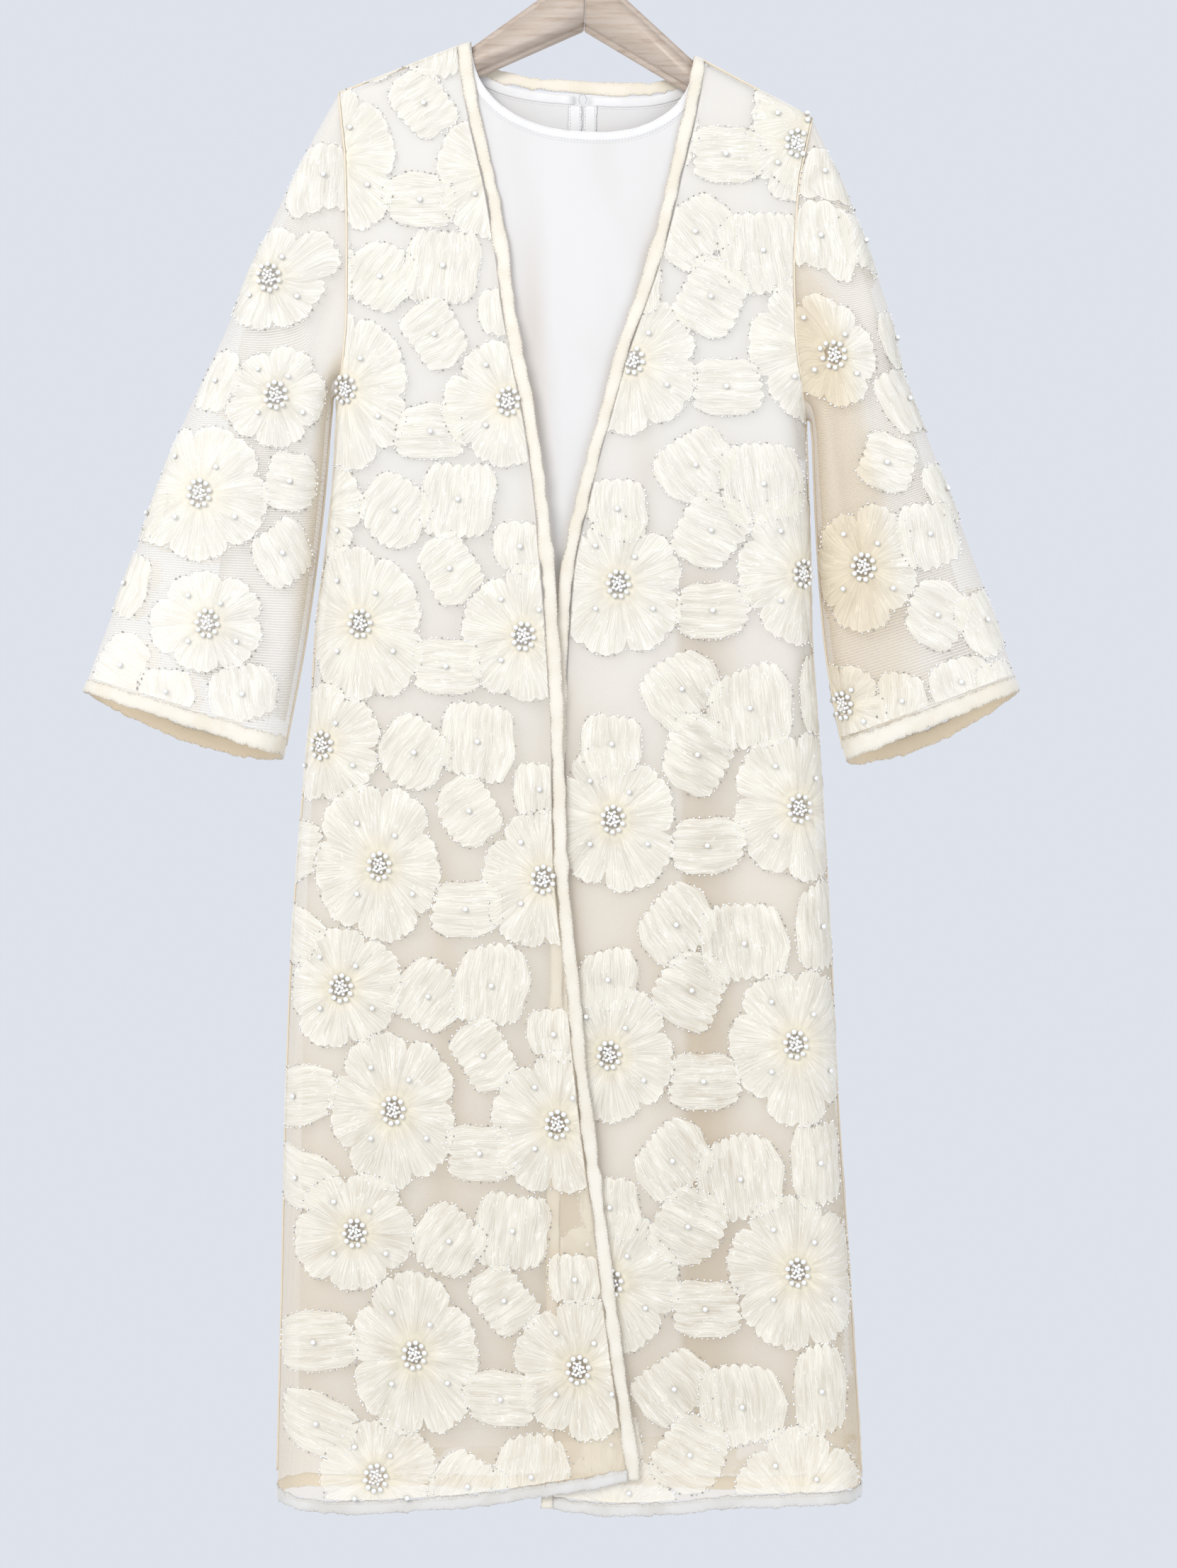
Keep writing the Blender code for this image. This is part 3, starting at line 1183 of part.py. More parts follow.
def hanger_hook():
    """The wire hook, with the collar that seats it on the wood, as one swept rod."""
    foot_x, foot_z = from_hanger(0, HANGER_CROWN)
    foot_z += SEAM_GAP
    centre_z = WIRE - HOOK_RADIUS
    path = [(foot_x, foot_z, COLLAR_RADIUS), (foot_x, foot_z + COLLAR_HEIGHT, COLLAR_RADIUS)]
    path += [(foot_x, foot_z + COLLAR_HEIGHT + 0.3 * MM, WIRE), (foot_x, foot_z + 12 * MM, WIRE)]
    first = math.radians(-48)
    start = (HOOK_RADIUS * math.cos(first), centre_z + HOOK_RADIUS * math.sin(first))
    for t in (0.25, 0.5, 0.75):
        keep = (1 - t) ** 2
        lean = 2 * t * (1 - t)
        x = keep * foot_x + lean * (foot_x + 3 * MM) + t * t * start[0]
        z = keep * (foot_z + 12 * MM) + lean * (foot_z + 21 * MM) + t * t * start[1]
        path.append((x, z, WIRE))
    for angle in np.radians(np.linspace(-48, 222, 17)):
        path.append((HOOK_RADIUS * math.cos(angle), centre_z + HOOK_RADIUS * math.sin(angle), WIRE))
    centres = np.array([p[:2] for p in path])
    tangents = np.gradient(centres, axis=0)
    tangents[:3] = (0, 1)
    tangents /= np.linalg.norm(tangents, axis=1)[:, None]
    rings = []
    for (x, z, radius), (tx, tz) in zip(path, tangents):
        ring = []
        for angle in np.linspace(0, 2 * math.pi, 8, endpoint=False):
            across = radius * math.cos(angle)
            ring.append((x + tz * across, radius * math.sin(angle), z - tx * across))
        rings.append(ring)
    tube("hanger_hook", np.array(rings), "steel")


def clear_scene():
    """Empties the scene of the objects that it opened with."""
    for item in list(bpy.data.objects):
        bpy.data.objects.remove(item)


def main():
    """Builds every piece of the garment and of its hanger."""
    clear_scene()
    for which in ("left", "right"):
        hanger_arm(which)
        coat_front(which)
        sleeve("coat", which, scaled(SLEEVE_CHART[which]))
        sleeve("slip", which, [])
        cuff_band(which)
    hanger_hook()
    coat_back()
    slip_body()


main()
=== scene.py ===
# %% [markdown]
# # An abaya of flowered net on a wooden hanger
#
# The garment is an open coat of fine see-through net. Flowers of gathered tulle, edged with tiny
# silver beads and set with pearls, are sewn all over it. A plain white slip hangs inside it, and
# both hang on a beech hanger. The cells below build the cloth first, then what is sewn on it, then
# the hanger, the finishes and the light.

# %% The frame and the imports
import json
import math
import random
from contextlib import contextmanager

import bmesh
import bpy
import numpy as np
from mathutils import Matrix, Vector

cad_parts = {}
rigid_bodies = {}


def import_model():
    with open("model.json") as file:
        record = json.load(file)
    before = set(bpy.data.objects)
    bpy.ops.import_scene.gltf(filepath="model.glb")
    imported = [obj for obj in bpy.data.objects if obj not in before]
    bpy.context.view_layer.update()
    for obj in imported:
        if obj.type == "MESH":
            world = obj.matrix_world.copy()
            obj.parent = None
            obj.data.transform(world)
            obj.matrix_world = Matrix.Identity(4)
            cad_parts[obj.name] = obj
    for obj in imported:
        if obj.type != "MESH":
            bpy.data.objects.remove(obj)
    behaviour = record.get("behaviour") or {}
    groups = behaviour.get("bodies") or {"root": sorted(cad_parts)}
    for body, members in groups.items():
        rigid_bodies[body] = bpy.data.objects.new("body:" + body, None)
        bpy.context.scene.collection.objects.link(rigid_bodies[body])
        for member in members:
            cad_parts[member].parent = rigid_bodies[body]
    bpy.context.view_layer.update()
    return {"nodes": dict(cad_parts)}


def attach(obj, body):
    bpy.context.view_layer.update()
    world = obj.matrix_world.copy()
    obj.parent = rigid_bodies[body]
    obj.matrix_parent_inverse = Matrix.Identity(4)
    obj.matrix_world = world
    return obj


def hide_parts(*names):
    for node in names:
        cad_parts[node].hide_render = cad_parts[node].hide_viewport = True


for item in list(bpy.data.objects):
    bpy.data.objects.remove(item)
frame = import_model()
MM = 0.001
QUARTER = math.pi / 2
HANDS = ("left", "right")
SIGN = {"left": -1, "right": 1}
print("nodes in the frame:", len(frame["nodes"]))

# %% [markdown]
# ## The form of the hanging coat
#
# Cloth on a hanger is a flat tube: a front and a back that roll over the shoulders and round the
# sides. Such a form could be sculpted, but a rule is easier to keep true. Each panel is drawn flat,
# in x and z, and one function lifts a flat point to its place in space. Everything that is sewn on
# a panel is then placed by the same function, only a little further out.

# %% Sizes of the hanger and the roll over it
HANGER_TILT = math.radians(3.5)
HANGER_X = -3.9 * MM
HANGER_Z = -113 * MM
HANGER_NECK = (95 * MM, -20 * MM)
HANGER_TIP = (195 * MM, -66 * MM)
CLOTH_LIFT = 5.3 * MM
ROLL = {"coat": 11.0 * MM, "slip": 8.1 * MM}
SINK = {"coat": 0.0, "slip": 2.9 * MM}
SHOULDER_FADE = 200 * MM

# %% The sides and the depth of the body at each height, in millimetres
SIDE_COLUMNS = ("height", "coat", "slip")
SIDE_LEFT = (
    (-1400, -264.5, -247.5), (-1350, -263.6, -247), (-1180, -259.5, -245), (-1010, -255.7, -243),
    (-880, -250.5, -240), (-750, -240.7, -234), (-685, -234.5, -229), (-620, -230.5, -225),
    (-555, -222.5, -217), (-494, -216, -210.5), (-425, -212.5, -206.5), (-385, -222, -213),
    (-340, -232, -228), (-150, -236, -234),
)
SIDE_RIGHT = (
    (-1400, 233, 215), (-1350, 231.5, 214), (-1180, 221.8, 208), (-1010, 210.5, 200),
    (-880, 204.5, 196), (-750, 197, 190), (-685, 192.5, 186.5), (-620, 188.5, 182.5),
    (-555, 187, 181.5), (-494, 185.5, 180), (-443, 184, 177), (-400, 195, 187),
    (-355, 208, 203), (-150, 214, 212),
)
DEPTH = (
    (-1400, 34.5, 23.5), (-1180, 32, 22.5), (-1010, 30, 21.5), (-880, 29, 21), (-750, 28, 20),
    (-620, 26, 19), (-494, 24, 17), (-430, 22, 15.5), (-385, 20.5, 14), (-340, 19, 13),
    (-250, 15, 10.5), (-150, 10.2, 8.2),
)

# %% The armholes, the front edges and the hems
ARMHOLE_COLUMNS = ("fall", "left", "right")
ARMHOLE = (
    (0, -211, 189), (220, -205, 177), (500, -203.5, 172.5), (760, -203.5, 174.5),
    (880, -206, 179),
)
ARMHOLE_CURVE = ((0.93, 0.12), (0.965, 0.38), (0.988, 0.72), (1, 1))
UNDERARM = {"left": -421.6 * MM, "right": -441.5 * MM}
SLIP_UNDERARM_RISE = 16 * MM
SLIP_ARMHOLE_INSET = 2.2 * MM
EDGE_COLUMNS = ("height", "x")
LEFT_EDGE = (
    (-1345, 45.5), (-1241, 31.5), (-1143, 18.4), (-1012, 2), (-913, -7.9), (-815, -17.7), (-684, -21),
    (-585, -27.5), (-461, -40.7), (-356, -60.3), (-264, -73.4), (-152.8, -96.4), (-100, -101),
)
RIGHT_EDGE = (
    (-1370, -41), (-1100, -35), (-900, -32), (-700, -30), (-579, -24.3), (-513, -11), (-461, 2),
    (-395, 20), (-303.6, 51), (-218, 72), (-162.6, 84), (-100, 91),
)
HEM_COLUMNS = ("x", "height")
LEFT_HEM = ((-290, -1350), (-204.6, -1359), (-126, -1356), (-34, -1343), (60, -1326))
RIGHT_HEM = ((-60, -1352), (31.5, -1361), (117, -1356), (260, -1349))
BACK_HEM = ((-290, -1350), (-130, -1352), (0, -1351), (117, -1353), (260, -1349))
SLIP_HEM = ((-290, -1304), (-120, -1306), (0, -1300), (120, -1292), (260, -1288))
FRONT_EDGES = {"left": LEFT_EDGE, "right": RIGHT_EDGE}
COAT_HEMS = {"left": LEFT_HEM, "right": RIGHT_HEM, "back": BACK_HEM}
HEM_LEVEL = -1.35
LAPPED_HEM_LEVEL = -1.33
LAP = 6.5 * MM
LAP_START = 130 * MM
LAP_END = 12 * MM
BAND_WIDTH = 11 * MM
BAND_GAP = 0.5 * MM

# %% The necklines
NECK_X = -5.0 * MM
NECK_HALF = 94 * MM
SLIP_FRONT_NECK = (73 * MM, 2.3)
SLIP_BACK_NECK = (40 * MM, 3.0)
COAT_BACK_NECK = (31 * MM, 3.0)
BINDING_WIDTH = 8 * MM
SLIT_LENGTH = 90 * MM

# %% The broad soft folds: x at the top and the hem, top, rise and half width
FRONT_FOLDS = (
    (-150, -190, -420, 3, 48), (-75, -95, -520, -2.5, 46), (-20, -25, -600, 2.5, 50),
    (60, 62, -480, 3, 48), (122, 128, -430, -3.5, 46), (172, 196, -520, 3, 46),
)
BACK_FOLDS = (
    (-140, -165, -450, 3, 48), (-60, -70, -400, -3, 48), (20, 10, -350, 3, 48),
    (95, 110, -450, -3, 48), (160, 190, -500, 3, 48),
)
FOLD_FULL = 380 * MM


# %% Reading a table along a smooth curve
def column(table, columns, name):
    """One named column of a table, in metres."""
    return np.array([row[columns.index(name)] for row in table], float) * MM


def smooth_read(keys, values, at):
    """The value at each key, on a smooth curve that never overshoots the rows of the table."""
    order = np.argsort(keys)
    keys = keys[order]
    values = values[order]
    steps = np.diff(keys)
    slopes = np.diff(values) / steps
    both = slopes[:-1] * slopes[1:]
    total = slopes[:-1] + slopes[1:]
    middle = np.where(both > 0, 2 * both / np.where(total == 0, 1, total), 0)
    bends = np.concatenate((slopes[:1], middle, slopes[-1:]))
    at = np.clip(np.asarray(at, float), keys[0], keys[-1])
    i = np.clip(np.searchsorted(keys, at) - 1, 0, len(steps) - 1)
    t = (at - keys[i]) / steps[i]
    start = values[i] * (1 + 2 * t) * (1 - t) ** 2 + bends[i] * steps[i] * t * (1 - t) ** 2
    end = values[i + 1] * t * t * (3 - 2 * t) + bends[i + 1] * steps[i] * t * t * (t - 1)
    return start + end


# %% Soft steps and bumps, directions and distances
def ease(t):
    """A soft step from 0 to 1."""
    t = np.clip(t, 0, 1)
    return t * t * (3 - 2 * t)


def bell(off, width):
    """A soft bump: 1 in the middle, and close to 0 at twice its half width."""
    return np.exp(-((off / width) ** 2))


def unit(vectors, least=0.0):
    """Vectors made one long; a least length keeps those of no length at zero."""
    return vectors / (np.linalg.norm(vectors, axis=-1)[..., None] + least)


def distances(path):
    """How far along a path each of its points lies."""
    return np.append(0, np.cumsum(np.linalg.norm(np.diff(path, axis=0), axis=1)))


# %% The shoulder line
def from_hanger(x, z):
    """A point of the hanger's own frame, in the part's frame."""
    lean_x = x * math.cos(HANGER_TILT) + z * math.sin(HANGER_TILT)
    lean_z = z * math.cos(HANGER_TILT) - x * math.sin(HANGER_TILT)
    return HANGER_X + lean_x, HANGER_Z + lean_z


def ridge(layer, x):
    """Height of the shoulder line at x, run on past the tips at the same slope."""
    ends = ((-1, HANGER_TIP), (-1, HANGER_NECK), (1, HANGER_NECK), (1, HANGER_TIP))
    line = [from_hanger(sign * point[0], point[1]) for sign, point in ends]
    tip_l, neck_l, neck_r, tip_r = np.array(line) + (0, CLOTH_LIFT)
    slope_l = (neck_l - tip_l)[1] / (neck_l - tip_l)[0]
    slope_r = (tip_r - neck_r)[1] / (tip_r - neck_r)[0]
    xs = np.array((neck_l[0] - 1, neck_l[0], neck_r[0], neck_r[0] + 1))
    zs = np.array((neck_l[1] - slope_l, neck_l[1], neck_r[1], neck_r[1] + slope_r))
    return np.interp(x, xs, zs) - SINK[layer]


# %% The sides, the edges and the hems at any height
def side(layer, which, z):
    """x of the side fold at each height."""
    table = SIDE_LEFT if which == "left" else SIDE_RIGHT
    return smooth_read(column(table, SIDE_COLUMNS, "height"), column(table, SIDE_COLUMNS, layer), z)


def half_depth(layer, z):
    """Half the depth of the body at each height, away from the shoulder."""
    return smooth_read(column(DEPTH, SIDE_COLUMNS, "height"), column(DEPTH, SIDE_COLUMNS, layer), z)


def edge_x(table, z):
    """x of a front edge at each height."""
    return smooth_read(column(table, EDGE_COLUMNS, "height"), column(table, EDGE_COLUMNS, "x"), z)


def hem_z(table, x):
    """Height of a hem at each x."""
    return smooth_read(column(table, HEM_COLUMNS, "x"), column(table, HEM_COLUMNS, "height"), x)


def seam_x(layer, which, z):
    """Flat x of the side seam, which is half way round the side fold."""
    return side(layer, which, z) + SIGN[which] * (QUARTER - 1) * half_depth(layer, z)


def seam_top(layer, x):
    """Flat height of the shoulder seam at each x."""
    return ridge(layer, x) + (QUARTER - 1) * ROLL[layer]


# %% The broad folds and the lap
def folds(back, x, z):
    """How far the broad folds stand out of the body at each point."""
    rise = np.zeros_like(x)
    for x_top, x_hem, top, height, width in BACK_FOLDS if back else FRONT_FOLDS:
        fall = np.clip((top * MM - z) / (1350 * MM + top * MM), 0, 1)
        middle = x_top * MM + (x_hem - x_top) * MM * fall
        grown = ease((top * MM - z) / FOLD_FULL)
        rise += height * MM * grown * bell(x - middle, width * MM)
    return rise


def lap(x, z):
    """How far the left front stands forward to pass over the right front."""
    under = edge_x(RIGHT_EDGE, z)
    return LAP * ease((x - under + LAP_START) / (LAP_START - LAP_END))


# %% [markdown]
# ## The creases
#
# Real cloth never hangs in the broad folds alone. Small creases cross them: long soft pulls that
# run down from the shoulders and the lap, and short dents where a heavy flower drags the net. Cloth
# simulation can make these, but here each has its place in the photograph. So they are short
# tables of soft troughs and ridges, one for the front and one for the back of each layer.

# %% The creases of each panel: x and z of both ends, rise and half width, in millimetres
NET_CREASES = {
    "front": (
        (-190, -230, -176, -430, -1.5, 9), (-160, -180, -130, -520, 1.4, 14),
        (-120, -150, -92, -420, -1.2, 10), (-235, -640, -232, -960, -1.6, 9),
        (-206, -560, -214, -900, 1.3, 12), (-60, -700, -38, -1180, 1.3, 15),
        (-108, -820, -92, -1290, -1.7, 11), (-160, -1000, -168, -1340, 1.5, 13),
        (-20, -980, 6, -1330, -1.5, 10), (120, -190, 96, -430, -1.4, 10), (150, -210, 158, -480, 1.3, 12),
        (66, -330, 34, -560, 1.1, 12), (88, -520, 84, -860, 1.5, 10), (118, -560, 124, -1180, -1.8, 13),
        (60, -860, 70, -1330, 1.2, 12), (176, -560, 188, -1010, -1.5, 9),
        (160, -900, 176, -1340, 1.3, 12), (20, -760, 8, -1330, -1.2, 12),
        (-224, -1080, -240, -1345, 1.2, 10), (-195, -1130, -200, -1350, -1.3, 9),
        (104, -1150, 112, -1350, 1.2, 9),
    ),
    "back": (
        (-180, -230, -160, -500, -1.5, 11), (-110, -170, -120, -640, 1.4, 15),
        (-40, -160, -30, -520, -1.2, 12), (30, -170, 40, -700, 1.3, 14), (100, -190, 112, -560, -1.5, 11),
        (150, -240, 150, -520, 1.2, 11), (-200, -620, -214, -1200, 1.5, 12),
        (-130, -760, -142, -1340, -1.7, 12), (-70, -700, -64, -1330, 1.4, 14),
        (0, -640, 8, -1340, -1.5, 12), (70, -760, 84, -1340, 1.4, 13), (140, -620, 152, -1200, -1.6, 12),
        (186, -760, 200, -1330, 1.3, 11), (-30, -1080, -34, -1345, 1.2, 9),
        (110, -1100, 118, -1345, -1.2, 9),
    ),
}
SLIP_CREASES = {
    "front": (
        (-150, -240, -120, -620, 1.0, 16), (-40, -230, -46, -620, -1.2, 13),
        (10, -240, 14, -560, 0.9, 15), (52, -230, 48, -620, -1.0, 12), (-196, -640, -205, -1290, 1.4, 13),
        (-120, -700, -126, -1290, -1.6, 14), (-66, -660, -70, -1280, 1.2, 14),
        (-10, -700, -14, -1280, -1.2, 15), (40, -640, 44, -1280, 1.2, 14),
        (-165, -900, -172, -1295, -1.2, 10), (166, -700, 176, -1280, 1.2, 10),
    ),
    "back": (
        (-140, -240, -120, -700, 1.0, 16), (-50, -230, -58, -700, -1.2, 13),
        (60, -240, 66, -700, 1.2, 14), (130, -260, 126, -700, -1.0, 12),
        (-180, -700, -196, -1290, 1.4, 13), (-100, -700, -104, -1290, -1.6, 14),
        (-30, -700, -34, -1280, 1.3, 14), (40, -700, 44, -1280, -1.2, 14),
        (110, -700, 120, -1280, 1.2, 12),
    ),
}


def creases(table, x, z):
    """How far the creases of a table stand out at each flat point."""
    rise = np.zeros(np.broadcast(x, z).shape)
    for x1, z1, x2, z2, height, width in table:
        run = np.array((x2 - x1, z2 - z1), float) * MM
        length = np.hypot(*run)
        dx, dz = x - x1 * MM, z - z1 * MM
        along = (dx * run[0] + dz * run[1]) / length
        across = (dx * run[1] - dz * run[0]) / length
        sway = 0.35 * width * MM * np.sin(along / (0.09 + 0.002 * width) + x1)
        ends = ease(along / (0.35 * length)) * ease((length - along) / (0.35 * length))
        rise = rise + height * MM * ends * bell(across + sway, width * MM)
    return rise


# %% The deep pleat of the slip, which shows through the right front as a darker stripe
PLEAT_EDGE = 75 * MM
PLEAT_FAR = 138 * MM
PLEAT_TOP = -520 * MM
PLEAT_FOOT = -1262 * MM
PLEAT_DEPTH = 3.4 * MM
PLEAT_BED = 16 * MM


def pleat(x, z):
    """How far the slip's pleat falls back, from 0 to 1."""
    edge = PLEAT_EDGE + 4 * MM * np.sin(z / 0.21)
    sharp = ease((x - edge) / (5 * MM))
    soft = 1 - ease((x - edge - PLEAT_BED) / (PLEAT_FAR - PLEAT_EDGE - PLEAT_BED))
    height = ease((PLEAT_TOP - z) / 0.12) * (1 - 0.6 * ease((PLEAT_FOOT - z) / 0.06))
    return sharp * soft * height


# %% A flat point of a body panel, lifted to its place
def body_skin(layer, back=False, lapped=False, creased=True):
    """The surface of a body panel: a function of flat x, flat z and the distance outwards."""
    table = (NET_CREASES if layer == "coat" else SLIP_CREASES)["back" if back else "front"]
    if not creased:
        table = ()

    def place(x, z, out):
        """Points in space of flat points that stand that far out."""
        x = np.asarray(x, float)
        z = np.asarray(z, float)
        roll = ROLL[layer]
        top = ridge(layer, x)
        level = np.minimum(z, top - roll)
        up = np.clip((z - level) / roll, 0, QUARTER)
        sunk = ease((top - roll - level) / SHOULDER_FADE)
        depth = roll + (half_depth(layer, level) - roll) * sunk
        left = side(layer, "left", level) + depth
        right = side(layer, "right", level) - depth
        turn_left = np.clip((left - x) / depth, 0, QUARTER)
        turn_right = np.clip((x - right) / depth, 0, QUARTER)
        flat_x = np.clip(x, left, right)
        turn = turn_left + turn_right
        stand = folds(back, flat_x, level) * np.cos(turn)
        if lapped:
            stand = stand + lap(flat_x, level)
        stand = stand + creases(table, x, level) * np.cos(turn) * ease((top - level) / (60 * MM))
        if layer == "slip" and creased and not back:
            stand = stand - PLEAT_DEPTH * pleat(flat_x, level)
        reach = depth + out
        y = (reach + stand) * np.cos(turn) * np.cos(up)
        px = flat_x + reach * (np.sin(turn_right) - np.sin(turn_left))
        pz = level + (roll + out) * np.sin(up)
        return np.stack((px, y if back else -y, pz), -1)

    return place


# %% The armhole seam, from the shoulder to the underarm
def armhole(layer, which):
    """The armhole seam in flat coordinates, from the shoulder seam down to the underarm."""
    inset = -SIGN[which] * SLIP_ARMHOLE_INSET if layer == "slip" else 0
    low = UNDERARM[which] + (SLIP_UNDERARM_RISE if layer == "slip" else 0)
    falls = column(ARMHOLE, ARMHOLE_COLUMNS, "fall")
    xs = column(ARMHOLE, ARMHOLE_COLUMNS, which) + inset
    run = seam_x(layer, which, low) - xs[-1]
    falls = np.append(falls, [fall for fall, _ in ARMHOLE_CURVE])
    xs = np.append(xs, [xs[-1] + run * part for _, part in ARMHOLE_CURVE])
    tip = ridge(layer, xs[0])
    steps = np.sin(np.linspace(0, QUARTER, 17))
    x = np.interp(steps, falls, xs)
    z = tip + (low - tip) * steps
    return np.append(x[:1], x), np.append(tip + (QUARTER - 1) * ROLL[layer], z)


def armhole_at(layer, which, share):
    """Flat points of the armhole, that share of the way from the shoulder seam to the underarm."""
    x, z = armhole(layer, which)
    points = body_skin(layer, creased=False)(x, z, 0.0)
    steps = np.linalg.norm(np.diff(points, axis=0), axis=1)
    spacing = np.append(0, np.cumsum(steps)) / steps.sum()
    return np.interp(share, spacing, x), np.interp(share, spacing, z)


def armhole_outward(layer, which, share):
    """Direction out of the arm's opening at that share of the way down the armhole."""
    shares = np.linspace(0, 1, 81)
    points = body_skin(layer, creased=False)(*armhole_at(layer, which, shares), 0.0)
    step = np.gradient(points, axis=0)
    outward = np.stack((0 * shares, step[:, 2], -step[:, 1]), -1)
    outward[0] = (0, 0, 1)
    outward[-1] = (0, 0, -1)
    outward = unit(outward)
    return unit(np.stack([np.interp(share, shares, outward[:, i]) for i in range(3)], -1))


# %% [markdown]
# ## The sleeves
#
# A sleeve on a hanger is a flattened tube that hangs from the armhole. A table gives, at stations
# from the armhole to the cuff, the fold along its outer edge, the fold under the arm and half its
# depth. The first stretch blends into the armhole's own curve, so the seam closes.

# %% The sections of the four sleeves, in millimetres
SLEEVE_COLUMNS = ("along", "fold_x", "fold_z", "under_x", "under_z", "depth")
SLEEVES = {
    ("coat", "left"): (
        (0, -211, -166, -213.5, -421.6, 16), (100, -232, -200, -215.5, -420.5, 19),
        (200, -257, -252, -216.5, -424, 22), (300, -283, -307, -217, -431, 24),
        (400, -306, -364, -218.3, -443, 25.5), (500, -328, -411, -220.8, -475, 26.5),
        (600, -350, -460, -225.5, -525, 27), (800, -388, -565, -239.5, -628, 28),
        (1000, -427.5, -671, -258, -726.6, 27), (1080, -441, -710, -265, -765, 27),
    ),
    ("coat", "right"): (
        (0, 189, -188, 184.8, -441.5, 16), (100, 208, -225, 187.5, -440.5, 19),
        (200, 226, -268, 188.5, -444, 22), (300, 242, -312, 189, -451, 24),
        (400, 256, -356, 189.8, -460, 25.5), (500, 266, -400, 190.8, -485, 26.5),
        (600, 284, -448, 192.5, -525, 27), (800, 322, -548, 199.5, -625, 28),
        (1000, 365.2, -670, 217.7, -729.8, 27), (1080, 382, -715, 227, -770, 27),
    ),
    ("slip", "left"): (
        (0, -209, -168.5, -209.5, -405.6, 12), (100, -229, -205, -213, -405, 13),
        (200, -250, -256, -216, -410, 14), (300, -274, -318, -219, -420, 15),
        (400, -295, -375, -221.5, -440, 15.5), (500, -303, -420, -224.5, -478, 16),
        (600, -307, -470, -230, -528, 16), (800, -313, -570, -243.5, -626, 16),
        (1000, -336, -655, -256, -697, 16), (1080, -346, -690, -261, -725, 16),
    ),
    ("slip", "right"): (
        (0, 187, -190.5, 180.5, -425.5, 12), (100, 204, -230, 184.5, -425, 13),
        (200, 220, -272, 188, -430, 14), (300, 234, -315, 191, -440, 15),
        (400, 247, -358, 193.3, -460, 15.5), (500, 258, -402, 194.8, -490, 16),
        (600, 275, -450, 197.3, -532, 16), (800, 302, -545, 204.5, -626, 16),
        (1000, 336, -655, 221, -710, 16), (1080, 348, -695, 229, -745, 16),
    ),
}
SLEEVE_BLEND = 0.22
CUFF_DROP = 12 * MM
SLEEVE_LENGTH = (545 * MM, 308 * MM)
# Each crease: middle share, start and end station, drift, rise in millimetres and half width
SLEEVE_CREASES = (
    (0.18, 0.10, 0.62, 0.06, 1.4, 0.05), (0.34, 0.16, 0.80, 0.04, -1.6, 0.05),
    (0.52, 0.22, 1.00, 0.05, 1.6, 0.06), (0.68, 0.30, 0.92, 0.02, -1.4, 0.05),
    (0.82, 0.24, 0.74, -0.08, 1.5, 0.05), (0.60, 0.05, 0.34, 0.16, -1.2, 0.05),
)


# %% A point of a sleeve
def sleeve_sections(layer, which, along):
    """Outer fold, direction across, width and half depth of a sleeve at each station."""
    table = SLEEVES[(layer, which)]
    keys = column(table, SLEEVE_COLUMNS, "along")
    read = {
        name: smooth_read(keys, column(table, SLEEVE_COLUMNS, name), along) for name in SLEEVE_COLUMNS[1:]
    }
    fold = np.stack((read["fold_x"], read["fold_z"]), -1)
    across = np.stack((read["under_x"], read["under_z"]), -1) - fold
    width = np.linalg.norm(across, axis=-1)
    return fold, across / width[..., None], width, read["depth"]


def sleeve_creases(along, share):
    """How far the creases of a sleeve stand out."""
    rise = np.zeros(np.broadcast(along, share).shape)
    for middle, start, end, drift, height, width in SLEEVE_CREASES:
        part = np.clip((along - start) / (end - start), 0, 1)
        ends = ease(part * 3) * ease((1 - part) * 3)
        off = share - middle - drift * part - 0.015 * np.sin(9 * along + 20 * middle)
        rise = rise + height * MM * ends * bell(off, width)
    return rise


def sleeve_skin(layer, which, back):
    """The surface of half a sleeve: a function of station, share of the way round and distance out."""

    def place(along, share, out):
        """Points in space of points of the sleeve that stand that far out."""
        along, share = np.broadcast_arrays(np.asarray(along, float), np.asarray(share, float))
        fold, across, width, depth = sleeve_sections(layer, which, along)
        rolled = (QUARTER - 1) * depth
        distance = share * (width + 2 * rolled) - rolled
        turn_top = np.clip((depth - distance) / depth, 0, QUARTER)
        turn_low = np.clip((distance - width + depth) / depth, 0, QUARTER)
        flat = np.clip(distance, depth, width - depth)
        out = out + sleeve_creases(along, share) * np.cos(turn_top + turn_low)
        reach = depth + out
        run = flat + reach * (np.sin(turn_low) - np.sin(turn_top))
        y = -reach * np.cos(turn_top + turn_low)
        tube = np.stack((fold[..., 0] + across[..., 0] * run, y, fold[..., 1] + across[..., 1] * run), -1)
        seam = body_skin(layer, creased=False)(*armhole_at(layer, which, share), 0.0)
        seam = seam + armhole_outward(layer, which, share) * out[..., None]
        blend = ease(along / SLEEVE_BLEND)[..., None]
        point = seam * (1 - blend) + tube * blend
        if back:
            point[..., 1] *= -1
        return point

    return place


